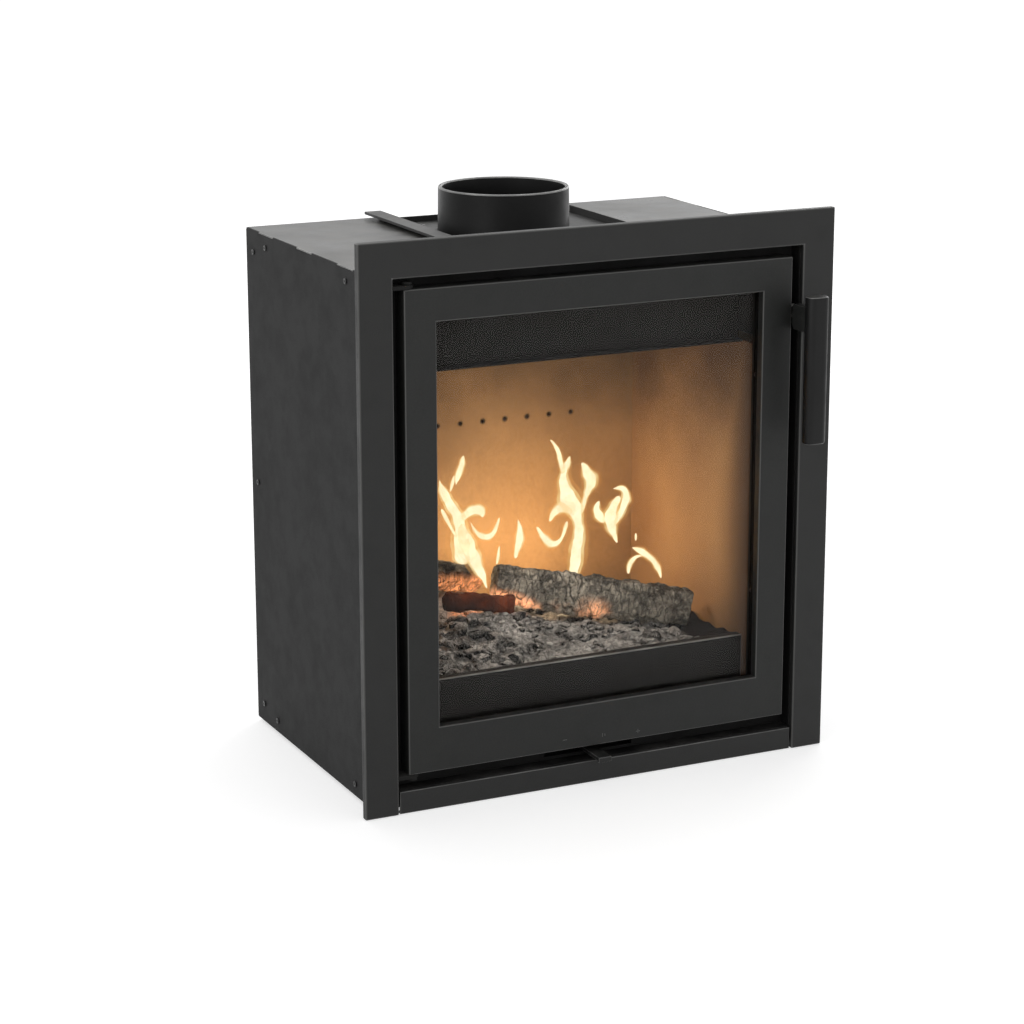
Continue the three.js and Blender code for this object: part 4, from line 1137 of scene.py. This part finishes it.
coals = lump_models("coal", 4, 0.6, 11)
flakes = lump_models("flake", 3, 0.4, 23)
for part_of_bed, count, area, sizes, flatness, seed in (
    ("front", 190, (-192, 150, 56, 200), (3.5, 9.5), 0.75, 3),
    ("left", 70, (-192, -70, 60, 150), (5.0, 12.0), 0.8, 4),
    ("back", 90, (-192, 190, 200, 306), (3.5, 10.0), 0.75, 5),
):
    strew(
        f"coal_lumps_{part_of_bed}", coals, count, area, sizes, flatness, 0.1, coal_lump,
        seed,
    )
strew("ash_flakes", flakes, 420, (-192, 140, 55, 230), (1.2, 3.8), 0.35, 0.5, ash_flake, 7)
for spare in coals + flakes:
    bpy.data.objects.remove(spare)


# ---- Flames, drawn up from the logs one section at a time ----
def draw_flame(name, y, sections, swell, depth, material):
    """Loft one shell of a flame; sections are (x, z, width) in mm from its foot to its tip."""
    places = [Vector((x * MM, y * MM, z * MM)) for x, z, _ in sections]
    widths = [width * swell * MM for _, _, width in sections]
    ways = []
    for number in range(len(places)):
        way = places[min(number + 1, len(places) - 1)] - places[max(number - 1, 0)]
        ways.append(math.atan2(way.x, way.z))
    bpy.ops.mesh.primitive_circle_add(
        vertices=10, radius=widths[0] / 2, fill_type="NGON", location=places[0]
    )
    flame = name_piece(name)
    with shaping(flame):
        turn(ways[0], "Y", places[0])
        for number in range(1, len(places)):
            step = {"value": places[number] - places[number - 1]}
            bpy.ops.mesh.extrude_region_move(TRANSFORM_OT_translate=step)
            share = widths[number] / widths[number - 1]
            bpy.ops.transform.resize(value=(share, share, share), center_override=places[number])
            turn_by = ways[number] - ways[number - 1]
            turn_by = (turn_by + math.pi) % (2 * math.pi) - math.pi
            turn(turn_by, "Y", places[number])
        bpy.ops.mesh.select_all(action="SELECT")
        bpy.ops.transform.resize(value=(1, depth, 1), center_override=places[0])
    face_outwards(flame)
    use_modifier(flame, "SUBSURF", levels=2, render_levels=2)
    lick = cloud_texture(name + "_lick", 0.017, 2)
    displace(flame, lick, min(0.0065, 0.45 * max(widths)))
    smooth(flame, 180)
    hand_over(flame, "body", material)


# For each flame, its y and its sections (x, z, width), all in mm.
FLAMES = {
    "left_main": (200, [
        (-79, 210, 14), (-79, 222, 24), (-80, 241, 23), (-81, 258, 17), (-86, 272, 16),
        (-95, 285, 14), (-103, 298, 10), (-107, 314, 1),
    ]),
    "left_side": (197, [(-86, 243, 3), (-93, 254, 5), (-100, 268, 6), (-106, 280, 3)]),
    "left_foot": (196, [
        (-49, 178, 2), (-55, 194, 9), (-62, 209, 14), (-70, 226, 17), (-77, 243, 18), (-82, 260, 9),
    ]),
    "left_curl": (200, [
        (-82, 262, 10), (-73, 270, 11), (-64, 274, 11), (-57, 273, 12), (-52, 268, 10),
        (-53, 262, 4),
    ]),
    "left_wisp": (205, [(-84, 302, 1), (-82, 312, 7), (-79, 319, 9), (-76, 327, 6), (-74, 338, 1)]),
    "left_spark": (205, [(-91, 296, 1), (-89, 302, 4), (-87, 309, 4), (-86, 315, 1)]),
    "left_crescent": (205, [
        (-66, 258, 1), (-61, 246, 6), (-51, 237, 8), (-39, 237, 7), (-33, 246, 5), (-29, 259, 1),
    ]),
    "middle_small": (215, [(-4, 204, 3), (-2, 214, 8), (2, 226, 9), (3, 238, 9), (-1, 252, 1)]),
    "middle_low": (220, [(-26, 198, 2), (-24, 206, 5), (-23, 213, 4), (-22, 220, 1)]),
    "centre_main": (205, [
        (68, 174, 13), (68, 190, 18), (69, 206, 18), (73, 222, 15), (74, 236, 11), (72, 248, 12),
        (67, 258, 22), (62, 267, 25), (57, 278, 19), (53, 291, 14), (53, 303, 12), (58, 313, 8),
        (62, 322, 1),
    ]),
    "centre_fork": (205, [(54, 300, 9), (50, 313, 6), (48, 325, 5), (44, 335, 5), (36, 344, 1)]),
    "centre_bulb": (205, [(66, 258, 14), (55, 261, 12), (45, 260, 12), (38, 253, 8), (35, 246, 2)]),
    "centre_branch": (205, [
        (74, 247, 4), (79, 260, 5), (83, 272, 7), (89, 283, 14), (90, 292, 17), (84, 301, 12),
        (77, 312, 1),
    ]),
    "centre_crescent": (200, [
        (16, 244, 1), (25, 229, 7), (34, 220, 9), (44, 220, 8), (51, 229, 5), (56, 246, 1),
    ]),
    "right_main": (210, [
        (127, 208, 1), (123, 219, 8), (119, 232, 15), (118, 245, 18), (122, 256, 13), (129, 264, 2),
    ]),
    "right_haze": (215, [(112, 235, 4), (104, 244, 12), (100, 254, 13), (106, 262, 6)]),
    "right_hook": (210, [
        (120, 228, 6), (130, 242, 11), (138, 256, 12), (140, 268, 9), (133, 276, 7), (120, 275, 1),
    ]),
    "right_arc_low": (170, [
        (121, 181, 3), (121, 190, 6), (126, 198, 6), (133, 202, 5), (140, 201, 1),
    ]),
    "right_arc_high": (170, [
        (125, 213, 2), (134, 209, 8), (145, 202, 9), (154, 193, 7), (162, 182, 5), (165, 169, 1),
    ]),
    "right_spark": (190, [(141, 214, 1), (141, 219, 4), (141, 224, 1)]),
}
for flame_name, (flame_y, flame_sections) in FLAMES.items():
    for shell, swell, depth, shell_material in (
        ("core", 0.86, 0.55, flame_core),
        ("body", 1.24, 0.65, flame_body),
        ("halo", 1.8, 0.75, flame_halo),
    ):
        draw_flame(
            f"flame_{flame_name}_{shell}", flame_y, flame_sections, swell, depth, shell_material
        )


# ---- Firelight, floor, world and studio lights ----
def lamp(name, kind, place, energy, colour=(1, 1, 1)):
    data = bpy.data.lights.new(name, kind)
    data.energy = energy
    data.color = colour
    made = new_object(name, data)
    made.location = place
    return made


FIRE = (1.0, 0.78, 0.52)
for spot, place, energy, colour, size in (
    ("left", (-0.075, 0.245, 0.215), 0.14, FIRE, 0.02),
    ("middle", (0.0, 0.255, 0.195), 0.15, FIRE, 0.02),
    ("low", (0.07, 0.25, 0.185), 0.18, FIRE, 0.02),
    ("centre", (0.065, 0.225, 0.25), 0.13, FIRE, 0.02),
    ("right", (0.12, 0.20, 0.23), 0.09, FIRE, 0.02),
    ("front", (-0.02, 0.085, 0.33), 0.75, (1.0, 0.95, 0.9), 0.03),
):
    fire_lamp = lamp(f"firelight_{spot}", "POINT", place, energy, colour)
    fire_lamp.data.shadow_soft_size = size
    fire_lamp.visible_camera = False
    fire_lamp.visible_glossy = False
    fire_lamp.visible_transmission = False


def plainly_seen(tree):
    """1 where the camera looks, straight or by way of glass, and 0 for other light."""
    ray = add(tree, "LightPath").outputs
    straight = maths(tree, "MAXIMUM", ray["Is Camera Ray"], ray["Is Glossy Ray"])
    return maths(tree, "MAXIMUM", straight, ray["Is Transmission Ray"])


def floor_finish():
    """A matt pale floor that glows towards white where it is seen."""
    material, tree, shader = new_material("pale_floor", 0.0, roughness=1.0)
    away = vectors(tree, "LENGTH", object_place(tree))["Value"]
    pale = tint(tree, span(tree, away, 0.8, 3.0, smooth_step=True), grey(0.56), grey(0.75))
    join(
        tree, shader,
        Base_Color=grey(0.7),
        Emission_Color=tint(tree, plainly_seen(tree), grey(0.0), pale),
        Emission_Strength=1.0,
    )
    return material


bpy.ops.mesh.primitive_plane_add(size=40, location=(0, 0, -0.0005))
floor = name_piece("pale_floor")
floor.data.materials.append(floor_finish())

world = bpy.data.worlds.new("white_room")
world.use_nodes = True
room = world.node_tree
white = tint(room, plainly_seen(room), grey(0.5), grey(1.0))
join(room, room.nodes["Background"].inputs, Color=white, Strength=1.0)
bpy.context.scene.world = world

for side, place, energy, size, aim in (
    ("key", (-2.6, -1.2, 2.2), 24, 1.8, (0, 0.1, 0.3)),
    ("fill", (2.4, -2.6, 1.6), 4, 2.0, (0, 0.1, 0.3)),
    ("rear", (2.7, 2.3, 1.5), 24, 2.0, (0, 0.2, 0.3)),
    ("top", (0.3, 0.9, 2.8), 27, 1.8, (0, 0.1, 0.4)),
):
    softbox = lamp(f"{side}_softbox", "AREA", place, energy)
    softbox.data.shape = "RECTANGLE"
    softbox.data.size = size
    softbox.data.size_y = size
    softbox.rotation_euler = (Vector(aim) - Vector(place)).to_track_quat("-Z", "Y").to_euler()
